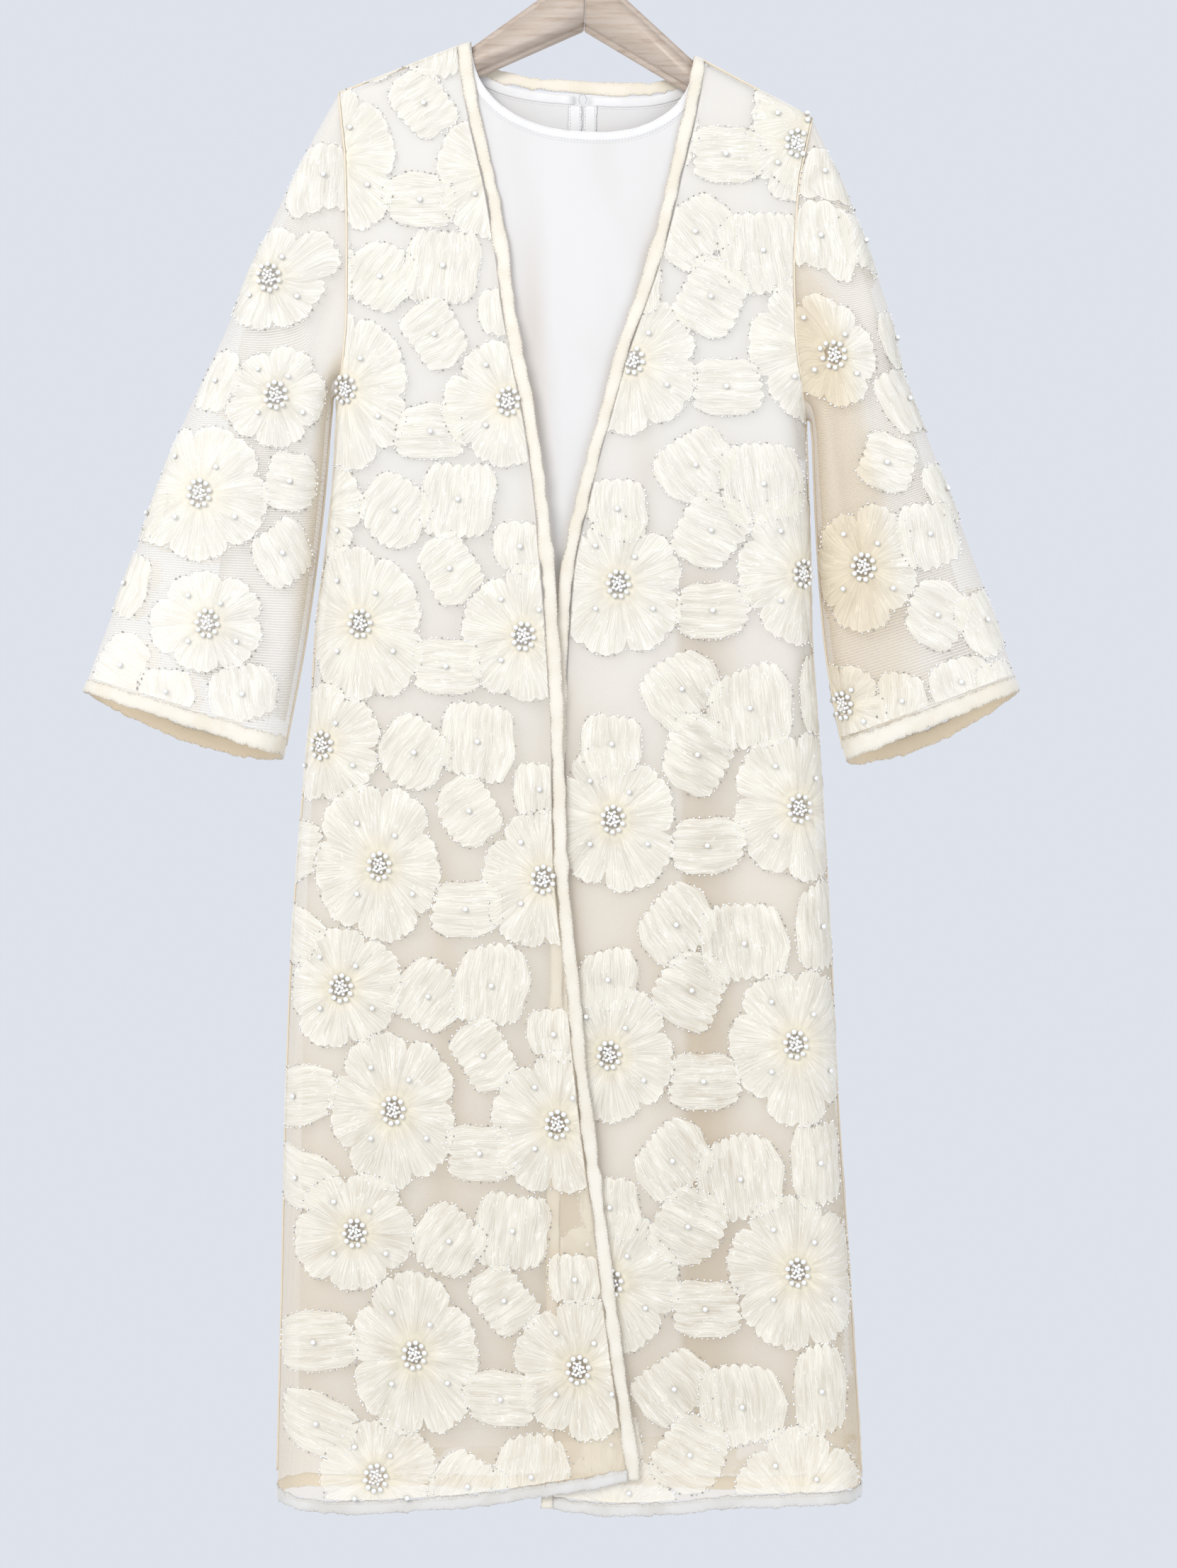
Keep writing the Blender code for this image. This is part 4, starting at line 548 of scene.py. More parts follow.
def find_on_sleeve(layer, which, x, z):
    """Station and share of the way round of points in a sleeve's front view."""
    stations = np.linspace(0, 1.08, 217)
    fold, across, _, _ = sleeve_sections(layer, which, stations)
    off = (x[:, None] - fold[:, 0]) * across[:, 1] - (z[:, None] - fold[:, 1]) * across[:, 0]
    off *= SIGN[which]
    passed = np.where((off > 0).any(axis=1), np.argmax(off > 0, axis=1), len(stations) - 1)
    passed = np.clip(passed, 1, len(stations) - 1)
    rows = np.arange(len(x))
    before, after = off[rows, passed - 1], off[rows, passed]
    part = np.clip(-before / np.where(after == before, 1, after - before), 0, 1)
    along = stations[passed - 1] + part * (stations[passed] - stations[passed - 1])
    fold, across, width, depth = sleeve_sections(layer, which, along)
    distance = (x - fold[:, 0]) * across[:, 0] + (z - fold[:, 1]) * across[:, 1]
    return along, (distance + (QUARTER - 1) * depth) / (width + 2 * (QUARTER - 1) * depth)


def sleeve_length(share):
    """Length of a sleeve at each share of the way round."""
    return SLEEVE_LENGTH[0] + (SLEEVE_LENGTH[1] - SLEEVE_LENGTH[0]) * share


def cuff_end(share, back, short):
    """Station of the sleeve's end: short of the cuff by that length, and lower on the back half."""
    drop = CUFF_DROP * np.sin(math.pi * share) if back else 0
    return 1 + (drop - short) / sleeve_length(share)


print("left cuff runs from", np.round(SLEEVES[("coat", "left")][-2][1:3]), "mm, outer fold")

# %% [markdown]
# ## The finishes
#
# Every finish is procedural. Cloth reads its own UV map, which holds the flat cut in metres, so a
# weave keeps its real pitch and follows the cloth round each fold. The net and the tulle let light
# through by their alpha. The threads of the net are two sets of fine waves that cross, and the
# strands of the gathered tulle are noise that is stretched along the gathers.


# %% Small helpers for node trees
def new_material(name, base, roughness, **more):
    """A Principled material, with its shader and its tree; more shader inputs may be set by name."""
    material = bpy.data.materials.new(name)
    material.use_nodes = True
    shader = material.node_tree.nodes["Principled BSDF"]
    shader.inputs["Base Color"].default_value = (*base, 1)
    shader.inputs["Roughness"].default_value = roughness
    for socket, value in more.items():
        shader.inputs[socket.replace("_", " ")].default_value = value
    return material, shader, material.node_tree


def add_node(tree, kind, **values):
    """A node of the tree with some of its sockets or properties set."""
    made = tree.nodes.new(kind)
    for key, value in values.items():
        if hasattr(made, key):
            setattr(made, key, value)
        else:
            made.inputs[key.replace("_", " ")].default_value = value
    return made


def scaled_map(tree, source, scale, turn=0.0):
    """UV or object coordinates, scaled and turned."""
    coords = add_node(tree, "ShaderNodeTexCoord")
    mapping = add_node(tree, "ShaderNodeMapping")
    mapping.inputs["Scale"].default_value = scale
    mapping.inputs["Rotation"].default_value = (0, 0, turn)
    tree.links.new(coords.outputs[source], mapping.inputs["Vector"])
    return mapping.outputs["Vector"]


def noise(tree, vector, scale, detail=2.0):
    """A noise value on those coordinates."""
    made = add_node(tree, "ShaderNodeTexNoise", Scale=scale, Detail=detail)
    tree.links.new(vector, made.inputs["Vector"])
    return made.outputs["Fac"]


def cloud(tree, scale, detail=2.0):
    """Noise on the object's own coordinates."""
    return noise(tree, scaled_map(tree, "Object", (1, 1, 1)), scale, detail)


def attribute(tree, name):
    """A value that is stored on the mesh's points."""
    return add_node(tree, "ShaderNodeAttribute", attribute_name=name).outputs["Fac"]


def paint(tree, shader, colour):
    """Let a socket give a finish its colour."""
    tree.links.new(colour, shader.inputs["Base Color"])


def ramp(tree, value, stops):
    """A colour ramp with the given stops of place and colour."""
    made = add_node(tree, "ShaderNodeValToRGB")
    line = made.color_ramp
    while len(line.elements) < len(stops):
        line.elements.new(0.5)
    for element, (place, colour) in zip(line.elements, stops):
        element.position = place
        element.color = (*colour, 1)
    tree.links.new(value, made.inputs["Fac"])
    return made.outputs["Color"]


def combine(tree, operation, first, second):
    """A Math node on two values, each a socket or a number."""
    made = add_node(tree, "ShaderNodeMath", operation=operation)
    for place, value in enumerate((first, second)):
        if isinstance(value, (int, float)):
            made.inputs[place].default_value = value
        else:
            tree.links.new(value, made.inputs[place])
    return made.outputs["Value"]


def spread(tree, value, low, high, to_low, to_high):
    """A value moved from one range to another, and held inside it."""
    made = add_node(tree, "ShaderNodeMapRange")
    for socket, number in zip(("From Min", "From Max", "To Min", "To Max"), (low, high, to_low, to_high)):
        made.inputs[socket].default_value = number
    tree.links.new(value, made.inputs["Value"])
    return made.outputs["Result"]


def mix_colours(tree, factor, first, second):
    """Two colours mixed, each a socket or an RGB triple."""
    made = add_node(tree, "ShaderNodeMix", data_type="RGBA")
    tree.links.new(factor, made.inputs["Factor"])
    for socket, colour in (("A", first), ("B", second)):
        place = [s for s in made.inputs if s.name == socket and s.type == "RGBA"][0]
        if isinstance(colour, tuple):
            place.default_value = (*colour, 1)
        else:
            tree.links.new(colour, place)
    return [s for s in made.outputs if s.type == "RGBA"][0]


def add_bump(tree, shader, height, strength, distance):
    """A bump from a height value."""
    made = add_node(tree, "ShaderNodeBump", Strength=strength, Distance=distance)
    tree.links.new(height, made.inputs["Height"])
    tree.links.new(made.outputs["Normal"], shader.inputs["Normal"])


def threads(tree, pitch, turn):
    """Threads of cloth: two crossing sets of waves, 1 on a thread and 0 in a hole."""
    sets = []
    for extra in (0, QUARTER):
        vector = scaled_map(tree, "UV", (1, 1, 1), turn + extra)
        made = add_node(tree, "ShaderNodeTexWave", Scale=math.pi / (10 * pitch), Distortion=0.0)
        tree.links.new(vector, made.inputs["Vector"])
        sets.append(made.outputs["Fac"])
    return combine(tree, "MAXIMUM", *sets)


# %% The net: beige threads with open holes
NET_PITCH = 1.2 * MM
NET_COLOUR = (0.935, 0.84, 0.675)
NET_WARM = (0.87, 0.745, 0.555)
# Painted shade for the net in shade, and painted light where it is lit over the white slip or where light
# falls through
NET_SHADED = (0.80, 0.64, 0.42)
NET_PAINTED_LIGHT = (0.98, 0.955, 0.895)


def make_net():
    """The net, see-through in its holes, and tinted by the light that each point gets."""
    material, shader, tree = new_material("net", NET_COLOUR, 0.75)
    thread = threads(tree, NET_PITCH, math.radians(38))
    patch = noise(tree, scaled_map(tree, "UV", (1, 0.35, 1)), 14, 3)
    tint = mix_colours(tree, spread(tree, patch, 0.35, 0.7, 0, 1), NET_COLOUR, NET_WARM)
    warm = attribute(tree, "warm")
    pale = spread(tree, warm, -1.0, 0.0, 1.0, 0.0)
    shaded = mix_colours(tree, warm, tint, NET_SHADED)
    paint(tree, shader, mix_colours(tree, pale, shaded, NET_PAINTED_LIGHT))
    tree.links.new(spread(tree, thread, 0.35, 0.9, 0.1, 0.58), shader.inputs["Alpha"])
    return material


# %% The tulle of the flowers: fine strands along the gathers
TULLE_WHITE = (0.94, 0.915, 0.835)
TULLE_CREAM = (0.90, 0.85, 0.71)
TULLE_CORE = (0.92, 0.83, 0.62)
# Painted shade for tulle in shade, and painted light for tulle where light falls through
TULLE_SHADED = (0.86, 0.76, 0.57)
TULLE_PAINTED_LIGHT = (0.92, 0.91, 0.86)


def make_tulle():
    """Gathered tulle: denser in its core, in its folds and along its rim, with painted shade and painted
    light where each point is lit.
    """
    material, shader, tree = new_material(
        "gathered_tulle", TULLE_WHITE, 0.85, Sheen_Weight=0.25, Sheen_Roughness=0.5
    )
    strand = noise(tree, scaled_map(tree, "UV", (1000, 40, 1)), 1, 2)
    broad = noise(tree, scaled_map(tree, "UV", (210, 26, 1)), 1, 2)
    away = combine(tree, "ABSOLUTE", combine(tree, "SUBTRACT", broad, 0.5), 0.0)
    thread = spread(tree, away, 0.0, 0.022, 1, 0)
    body = spread(tree, strand, 0.34, 0.68, 0, 0.75)
    strands = combine(tree, "MAXIMUM", body, thread)
    fibre = combine(tree, "MAXIMUM", strands, combine(tree, "MULTIPLY", attribute(tree, "rim"), 0.8))
    core = attribute(tree, "core")
    tint = mix_colours(tree, fibre, TULLE_CREAM, TULLE_WHITE)
    creamy = mix_colours(tree, combine(tree, "MULTIPLY", core, 0.8), tint, TULLE_CORE)
    warm = attribute(tree, "warm")
    shaded = mix_colours(tree, warm, creamy, TULLE_SHADED)
    pale = spread(tree, warm, -1.0, 0.0, 0.4, 0.0)
    paint(tree, shader, mix_colours(tree, pale, shaded, TULLE_PAINTED_LIGHT))
    patch = spread(tree, noise(tree, scaled_map(tree, "UV", (60, 30, 1)), 1, 1), 0.3, 0.7, -0.12, 0.1)
    layers = combine(tree, "ADD", patch, spread(tree, attribute(tree, "dense"), 0.0, 1.0, -0.11, 0.03))
    open_cloth = combine(tree, "ADD", spread(tree, fibre, 0.0, 0.9, 0.54, 0.80), layers)
    tree.links.new(combine(tree, "MAXIMUM", open_cloth, core), shader.inputs["Alpha"])
    add_bump(tree, shader, fibre, 0.12, 0.3 * MM)
    return material


# %% The turned edges, the slip, its binding and the sewing threads
BAND_CREAM = (0.745, 0.685, 0.565)
BAND_LIGHT = (0.80, 0.75, 0.65)
BAND_PEACH = (0.84, 0.70, 0.50)
# The hems are the same turned net as the edges, painted darker and greyer: painted shade at the hem
HEM_CREAM_SHADED = (0.62, 0.595, 0.54)
HEM_PALE_SHADED = (0.69, 0.67, 0.63)
SLIP_WHITE = (0.70, 0.685, 0.665)
SLIP_SHADE = (0.50, 0.41, 0.31)
BINDING_WHITE = (0.80, 0.785, 0.765)
# The thread is grey partly in its own colour and partly as painted shade in the dents of the stitches
STITCH_GREY_AND_DENT_SHADE = (0.60, 0.60, 0.61)
HEM_STITCH = (0.90, 0.83, 0.70)
SEAM_BEIGE = (0.80, 0.70, 0.54)


def make_band(name, cream, light):
    """A fuzzy turned edge: peach underneath, and thin along its fringe."""
    material, shader, tree = new_material(name, cream, 0.9, Sheen_Weight=0.5)
    fuzz = cloud(tree, 1100, 3)
    tint = mix_colours(tree, spread(tree, cloud(tree, 42, 3), 0.38, 0.6, 0, 1), cream, light)
    pale = mix_colours(tree, spread(tree, fuzz, 0.4, 0.65, 0, 0.4), tint, light)
    paint(tree, shader, mix_colours(tree, attribute(tree, "under"), pale, BAND_PEACH))
    add_bump(tree, shader, fuzz, 0.22, 0.5 * MM)
    thin = combine(tree, "MULTIPLY", attribute(tree, "fringe"), spread(tree, fuzz, 0.4, 0.56, 1.0, 0.1))
    tree.links.new(combine(tree, "SUBTRACT", 1.0, thin), shader.inputs["Alpha"])
    return material


def make_slip():
    """The slip's plain woven cloth, darker where its points are marked as shaded."""
    material, shader, tree = new_material("slip_cloth", SLIP_WHITE, 0.7, Sheen_Weight=0.12)
    weave = threads(tree, 0.8 * MM, 0.0)
    patch = noise(tree, scaled_map(tree, "UV", (1, 0.4, 1)), 11, 3)
    depth = combine(tree, "ADD", attribute(tree, "shade"), spread(tree, patch, 0.3, 0.75, -0.08, 0.18))
    paint(tree, shader, mix_colours(tree, spread(tree, depth, 0, 1, 0, 1), SLIP_WHITE, SLIP_SHADE))
    add_bump(tree, shader, weave, 0.12, 0.15 * MM)
    return material


def make_plain_cloth(name, colour, pitch):
    """A plain woven cloth or thread of one colour."""
    material, shader, tree = new_material(name, colour, 0.75)
    weave = threads(tree, pitch, math.radians(45))
    dim = tuple(0.94 * part for part in colour)
    paint(tree, shader, mix_colours(tree, spread(tree, cloud(tree, 90, 3), 0.3, 0.7, 0, 1), dim, colour))
    add_bump(tree, shader, weave, 0.2, 0.2 * MM)
    return material


# %% Pearls, silver beads and crystals
PEARL_WHITE = (0.95, 0.95, 0.94)
PEARL_CREAM = (0.88, 0.87, 0.84)
PEARL_CONTACT_SHADE = (0.50, 0.48, 0.44)
# Painted glints and reflections: bright and dark patches in the colour of beads and crystals
BEAD_GLINT_STOPS = ((0.39, (0.33, 0.31, 0.28)), (0.43, (0.68, 0.65, 0.60)), (0.48, (1.0, 1.0, 0.98)))
CRYSTAL_GLINT_STOPS = ((0.36, (0.78, 0.75, 0.69)), (0.46, (0.93, 0.91, 0.87)), (0.54, (1.0, 1.0, 0.99)))


def make_pearl():
    """A glossy pearl, with a painted contact shadow at its foot, where it sits in the tulle."""
    material, shader, tree = new_material(
        "pearl", (0.90, 0.89, 0.86), 0.22, Metallic=0.25, Coat_Weight=0.9, Coat_Roughness=0.06
    )
    tint = mix_colours(tree, spread(tree, cloud(tree, 160, 2), 0.35, 0.65, 0, 1), PEARL_WHITE, PEARL_CREAM)
    # The lower part of the pearl is painted darker: painted contact shadow where it meets the tulle
    foot = spread(tree, attribute(tree, "rise"), 0.0, 0.6, 0, 1)
    paint(tree, shader, mix_colours(tree, foot, PEARL_CONTACT_SHADE, tint))
    return material


def make_painted_glints(name, base, roughness, scale, detail, stops, **more):
    """A bead whose colour is painted bright and dark by turns: painted glints and reflections on its facets.
    """
    material, shader, tree = new_material(name, base, roughness, **more)
    paint(tree, shader, ramp(tree, cloud(tree, scale, detail), stops))
    return material


# %% The wood of the hanger and the metal of its hook
WOOD_LIGHT = (0.56, 0.47, 0.39)
WOOD_MIDDLE = (0.52, 0.42, 0.34)
WOOD_DARK = (0.43, 0.34, 0.26)


def make_wood(name, turn):
    """Beech with its grain turned to run along the arm."""
    material, shader, tree = new_material(name, WOOD_LIGHT, 0.42, Coat_Weight=0.25, Coat_Roughness=0.3)
    coords = add_node(tree, "ShaderNodeTexCoord")
    mapping = add_node(tree, "ShaderNodeMapping")
    mapping.inputs["Rotation"].default_value = (0, turn, 0)
    mapping.inputs["Scale"].default_value = (1, 9, 14)
    tree.links.new(coords.outputs["Object"], mapping.inputs["Vector"])
    grain = noise(tree, mapping.outputs["Vector"], 22, 5)
    fine = noise(tree, mapping.outputs["Vector"], 140, 3)
    streak = combine(tree, "ADD", combine(tree, "MULTIPLY", grain, 0.7), combine(tree, "MULTIPLY", fine, 0.3))
    paint(tree, shader, ramp(tree, streak, ((0.36, WOOD_DARK), (0.47, WOOD_MIDDLE), (0.6, WOOD_LIGHT))))
    add_bump(tree, shader, streak, 0.15, 0.2 * MM)
    return material


def make_metal():
    """Steel wire, brushed lengthwise."""
    material, shader, tree = new_material("hook_steel", (0.72, 0.72, 0.73), 0.25, Metallic=1.0)
    brushed = noise(tree, scaled_map(tree, "Object", (1, 1, 0.2)), 900, 2)
    tree.links.new(spread(tree, brushed, 0.3, 0.7, 0.16, 0.34), shader.inputs["Roughness"])
    return material


FINISHES = {
    "net": make_net(), "tulle": make_tulle(), "band": make_band("turned_edge", BAND_CREAM, BAND_LIGHT),
    "hem_band": make_band("turned_hem_shaded", HEM_CREAM_SHADED, HEM_PALE_SHADED), "slip": make_slip(),
    "binding": make_plain_cloth("slip_binding", BINDING_WHITE, 0.7 * MM),
    "stitch": make_plain_cloth("sewing_thread", STITCH_GREY_AND_DENT_SHADE, 0.4 * MM),
    "hem_thread": make_plain_cloth("hem_thread", HEM_STITCH, 0.4 * MM),
    "seam": make_plain_cloth("net_seam", SEAM_BEIGE, 0.8 * MM),
    "pearl": make_pearl(),
    "bead": make_painted_glints("silver_bead", (0.62, 0.59, 0.54), 0.25, 470, 0, BEAD_GLINT_STOPS, Metallic=0.3),
    "crystal": make_painted_glints(
        "crystal", (0.80, 0.77, 0.72), 0.08, 420, 1, CRYSTAL_GLINT_STOPS, Metallic=0.15, Coat_Weight=0.8
    ),
    "wood_left": make_wood("beech_left", math.radians(-26)),
    "wood_right": make_wood("beech_right", math.radians(30)), "metal": make_metal(),
}
print("finishes:", ", ".join(sorted(FINISHES)))

# %% [markdown]
# ## From a surface to a mesh
#
# A panel's mesh is a grid that fills its flat outline: columns run from side to side, rows from the
# hem to the shoulder. Both borders bend, so each flat point is found by a few rounds of the same two
# blends. The grid keeps its flat place as a UV map in metres, which the weaves read.


# %% Mesh helpers
def link_object(name, data):
    """An object of that data, in the scene."""
    item = bpy.data.objects.new(name, data)
    bpy.context.scene.collection.objects.link(item)
    return item


def face_counts(items):
    """How many faces each piece has."""
    return {item.name: len(item.data.polygons) for item in items}


def flat_map(x, z):
    """The flat place of each point of a grid, as a UV map in metres."""
    return np.stack((x, z), -1).reshape(-1, 2)


@contextmanager
def edited(mesh):
    """A mesh that is opened for editing and written back afterwards."""
    work = bmesh.new()
    work.from_mesh(mesh)
    yield work
    work.to_mesh(mesh)
    work.free()


def make_mesh(name, points, faces, finish, uv=None, **values):
    """A smooth mesh, with a UV map on its points or its face corners and named values on its points."""
    mesh = bpy.data.meshes.new(name)
    mesh.from_pydata(np.asarray(points).tolist(), [], [list(face) for face in faces])
    mesh.polygons.foreach_set("use_smooth", [True] * len(mesh.polygons))
    if uv is not None:
        corners = np.empty(len(mesh.loops), int)
        mesh.loops.foreach_get("vertex_index", corners)
        uv = uv if len(uv) == len(corners) else np.asarray(uv)[corners]
        mesh.uv_layers.new(name="flat").data.foreach_set("uv", uv.ravel())
    for key, value in values.items():
        mesh.attributes.new(key, "FLOAT", "POINT").data.foreach_set("value", np.asarray(value, float).ravel())
    mesh.materials.append(FINISHES[finish])
    return link_object(name, mesh)


def grid_faces(rows, columns, closed=False, turned=False):
    """Faces between the rows and columns of a grid of points, run round its columns when closed."""
    i, j = np.meshgrid(np.arange(rows - 1), np.arange(columns if closed else columns - 1), indexing="ij")
    k = (j + 1) % columns
    faces = np.stack((i * columns + j, i * columns + k, (i + 1) * columns + k, (i + 1) * columns + j), -1)
    return faces.reshape(-1, 4)[:, ::-1 if turned else 1]


def corner_map(uv, turned=False):
    """UV of each face corner of a closed grid, whose map has one column more than its points."""
    quads = np.stack((uv[:-1, :-1], uv[:-1, 1:], uv[1:, 1:], uv[1:, :-1]), 2)
    return quads[:, :, ::-1 if turned else 1].reshape(-1, 2)


def keep(item, slot, *nodes):
    """Let a piece ride on the one body, in place of the nodes it finishes; its slot is not used."""
    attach(item, "root")
    if nodes:
        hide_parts(*nodes)
    return item


# %% The borders of the panels
def panel_side(layer, which, z):
    """x of a panel's side: the armhole above the underarm and the side seam below it."""
    hole_x, hole_z = armhole(layer, which)
    above = np.interp(z, hole_z[::-1], hole_x[::-1])
    return np.where(z > hole_z[-1], above, seam_x(layer, which, z))


def both_sides(layer):
    """The left and the right side of a whole panel, each as a function of height."""
    return [lambda z, which=which: panel_side(layer, which, z) for which in HANDS]


def neck_top(layer, neck, x, widen=0.0):
    """Height of a neckline, lowered by a band's width, and of the shoulder seam beside it."""
    drop, square = neck
    off = np.clip(np.abs(x - NECK_X) / (NECK_HALF + widen), 0, 1)
    return seam_top(layer, x) - (drop + widen) * (1 - off**square) ** (1 / square)


def neck_x(neck, widen, count):
    """x of points along a neckline, close together where it is steep."""
    turn = np.cos(np.linspace(0, math.pi, count))
    return NECK_X - (NECK_HALF + widen) * np.sign(turn) * np.abs(turn) ** (2 / neck[1])


def neck_columns(layer, neck, widen):
    """Columns across a whole front or back, close together where its neckline is steep."""
    x = neck_x(neck, widen, 41)
    left, right = (armhole(layer, which)[0][0] for which in HANDS)
    return np.union1d(np.round((x - left) / (right - left), 3), np.round(np.linspace(0, 1, 61), 3))


PANEL_ROWS = np.concatenate((
    np.linspace(0, 0.75, 104)[:-1], np.linspace(0.75, 0.8, 26)[:-1], np.linspace(0.8, 1, 30),
))
PANEL_HEIGHT = 1.2


def flat_grid(left, right, hem, top, columns, rows=PANEL_ROWS):
    """Flat points of a panel, between its two sides and between its hem and its top."""
    u, v = np.meshgrid(columns, rows)
    z = HEM_LEVEL + PANEL_HEIGHT * v
    for _ in range(10):
        x = left(z) + (right(z) - left(z)) * u
        z = hem(x) + (top(x) - hem(x)) * v
    return x, z


# %% The net of the two fronts and the back
NET_IN = -0.5 * MM
FRONT_COLUMNS = 44


def front_panel(which):
    """Flat grid of one front, inside its turned edges."""
    sign = -SIGN[which]
    edge, hem = FRONT_EDGES[which], COAT_HEMS[which]
    inset = sign * (BAND_WIDTH + BAND_GAP)
    borders = [lambda z: panel_side("coat", which, z), lambda z: edge_x(edge, z) - inset]
    return flat_grid(
        *borders[::sign], lambda x: hem_z(hem, x) + BAND_WIDTH, lambda x: seam_top("coat", x),
        np.linspace(0, 1, FRONT_COLUMNS),
    )


def back_panel():
    """Flat grid of the back, inside its turned neck and hem."""
    return flat_grid(
        *both_sides("coat"), lambda x: hem_z(BACK_HEM, x) + BAND_WIDTH,
        lambda x: neck_top("coat", COAT_BACK_NECK, x, BAND_WIDTH + BAND_GAP),
        neck_columns("coat", COAT_BACK_NECK, BAND_WIDTH + BAND_GAP),
    )


SKINS = {
    "left": body_skin("coat", lapped=True), "right": body_skin("coat"), "back": body_skin("coat", back=True),
}


def light_fall(z):
    """How the body is lit at each height, painted into the colour of its net and tulle: pale above, over the
    white slip, and tan shade at the hem.
    """
    return np.interp(z, (-1.25, -0.85, -0.5), (0.2, -0.1, -0.8))


def net_panel(name, node, skin, grid, turned=False):
    """The net of a panel on its flat grid, in place of its CAD node."""
    x, z = grid
    points = skin(x, z, NET_IN).reshape(-1, 3)
    faces = grid_faces(*x.shape, turned=turned)
    # Each point carries how it is lit, which the net paints as shade or light
    item = make_mesh(name, points, faces, "net", flat_map(x, z), warm=light_fall(z))
    return keep(item, "net", node)


net_fronts = {
    which: net_panel(f"net_front_{which}", f"coat_front_{which}", SKINS[which], front_panel(which))
    for which in HANDS
}
net_back = net_panel("net_back", "coat_back", SKINS["back"], back_panel(), turned=True)
print("net panels:", face_counts((*net_fronts.values(), net_back)))

# %% The sleeves, each a tube from its armhole to its cuff
SLEEVE_ROWS = np.concatenate((np.linspace(0, 0.12, 12)[:-1], np.linspace(0.12, 1, 52)))
SLEEVE_SHARES = np.linspace(0, 1, 33)
# The light on each sleeve: how deep its shade is, the share where it starts and how softly, how far
# it fades towards the cuff, from which station and over how many, and how pale the rest is
SLEEVE_LIGHT = {
    "left": (0.5, 0.78, 0.15, 1, 0.6, 0.3, 0.7), "right": (1, 0.40, 0.28, 0.8, 0.75, 0.25, 0.55),
}


def sleeve_shade(which, along, share):
    """How a point of a sleeve is lit, painted into its colour: 1 in the body's tan shade, -1 where light
    falls through.
    """
    shade, edge, soft, fade, low, run, pale = SLEEVE_LIGHT[which]
    deep = shade * ease((np.abs(share) - edge) / soft) * (1 - fade * ease((along - low) / run))
    return deep - pale * (1 - ease(2.5 * deep))


def sleeve_tube(layer, which, short, out):
    """Points, flat map and shade of a whole sleeve, round from its outer edge."""
    halves, flats, shades = [], [], []
    for back in (False, True):
        share = SLEEVE_SHARES[::-1] if back else SLEEVE_SHARES
        share, along = np.meshgrid(share, SLEEVE_ROWS)
        along = along * cuff_end(share, back and layer == "coat", short)
        halves.append(sleeve_skin(layer, which, back)(along, share, out)[:, :-1])
        shades.append(sleeve_shade(which, along, share)[:, :-1])
        _, _, width, depth = sleeve_sections(layer, which, along)
        around = (2 - share if back else share) * (width + 2 * (QUARTER - 1) * depth)
        flats.append(np.stack((around, -along * sleeve_length(share)), -1)[:, :None if back else -1])
    return np.concatenate(halves, 1), np.concatenate(flats, 1), np.concatenate(shades, 1)


def make_sleeve(layer, which, name, short, finish, slot):
    """A whole sleeve of one layer, in place of its CAD node."""
    points, uv, shade = sleeve_tube(layer, which, short, NET_IN)
    turned = which == "left"
    faces = grid_faces(*points.shape[:2], closed=True, turned=turned)
    # Each point carries how it is lit, which the net and tulle paint as shade or light
    item = make_mesh(name, points.reshape(-1, 3), faces, finish, corner_map(uv, turned), warm=shade)
    return keep(item, slot, f"{layer}_sleeve_{which}")


net_sleeves, slip_sleeves = {}, {}
for which in HANDS:
    net_sleeves[which] = make_sleeve("coat", which, f"net_sleeve_{which}", BAND_WIDTH, "net", "net")
    slip_sleeves[which] = make_sleeve("slip", which, f"slip_sleeve_cloth_{which}", 0.0, "slip", "slip_cloth")
print("sleeves:", face_counts((*net_sleeves.values(), *slip_sleeves.values())))

# %% [markdown]
# ## Edges, seams and cords
#
# The turned edge of the net is a soft roll: a flattened tube between two lines of the panel. It is a
# little uneven, because the net is folded over three times and puffs out between the stitches.


# %% Soft rolls between two lines, and thin cords along one
ROLL_SIDES = 16
ROLL_TURN = np.linspace(0, 2 * math.pi, ROLL_SIDES, endpoint=False)


def uneven(count, seed, waves=9):
    """A smooth uneven value from -1 to 1 along a run of points."""
    pick = random.Random(seed)
    t = np.linspace(0, 1, count)
    total = np.zeros(count)
    for k in range(waves):
        often = 3 + 4.7 * k + 2 * pick.random()
        total += np.sin(2 * math.pi * often * t + 7 * pick.random()) / (1 + 0.25 * k)
    return total / np.abs(total).max()


def roll_rings(place, first, second, thick, lumps=0.3, middle=-0.5 * MM, seed=1):
    """Points round a soft roll, at each step along two flat lines."""
    across = (0.5 - 0.5 * np.cos(ROLL_TURN))[None, :, None]
    outer, inner = (0.5 * lumps * uneven(len(first), seed + k, 15)[:, None, None] for k in (500, 700))
    across = across + outer * (1 - across) + inner * across
    flat = first[:, None] * (1 - across) + second[:, None] * across
    swell = 1 + lumps * uneven(len(first), seed, 16)[:, None]
    puffs = np.stack([uneven(len(first), seed + 40 * k, 30) for k in range(ROLL_SIDES)], 1)
    bulge = np.sign(np.sin(ROLL_TURN)) * np.abs(np.sin(ROLL_TURN)) ** 0.7
    return place(flat[..., 0], flat[..., 1], middle + 0.5 * thick * bulge * (swell + 0.6 * lumps * puffs))


def cord_rings(path, radius, sides=6):
    """Points round a thin cord along a path."""
    along = unit(np.gradient(path, axis=0), 1e-12)
    helper = np.where(np.abs(along[:, 1:2]) < 0.8, (0.0, 1.0, 0.0), (1.0, 0.0, 0.0))
    first = unit(np.cross(along, helper))
    second = np.cross(along, first)
    turn = np.linspace(0, 2 * math.pi, sides, endpoint=False)[None, :, None]
    return path[:, None] + radius * (np.cos(turn) * first[:, None] + np.sin(turn) * second[:, None])


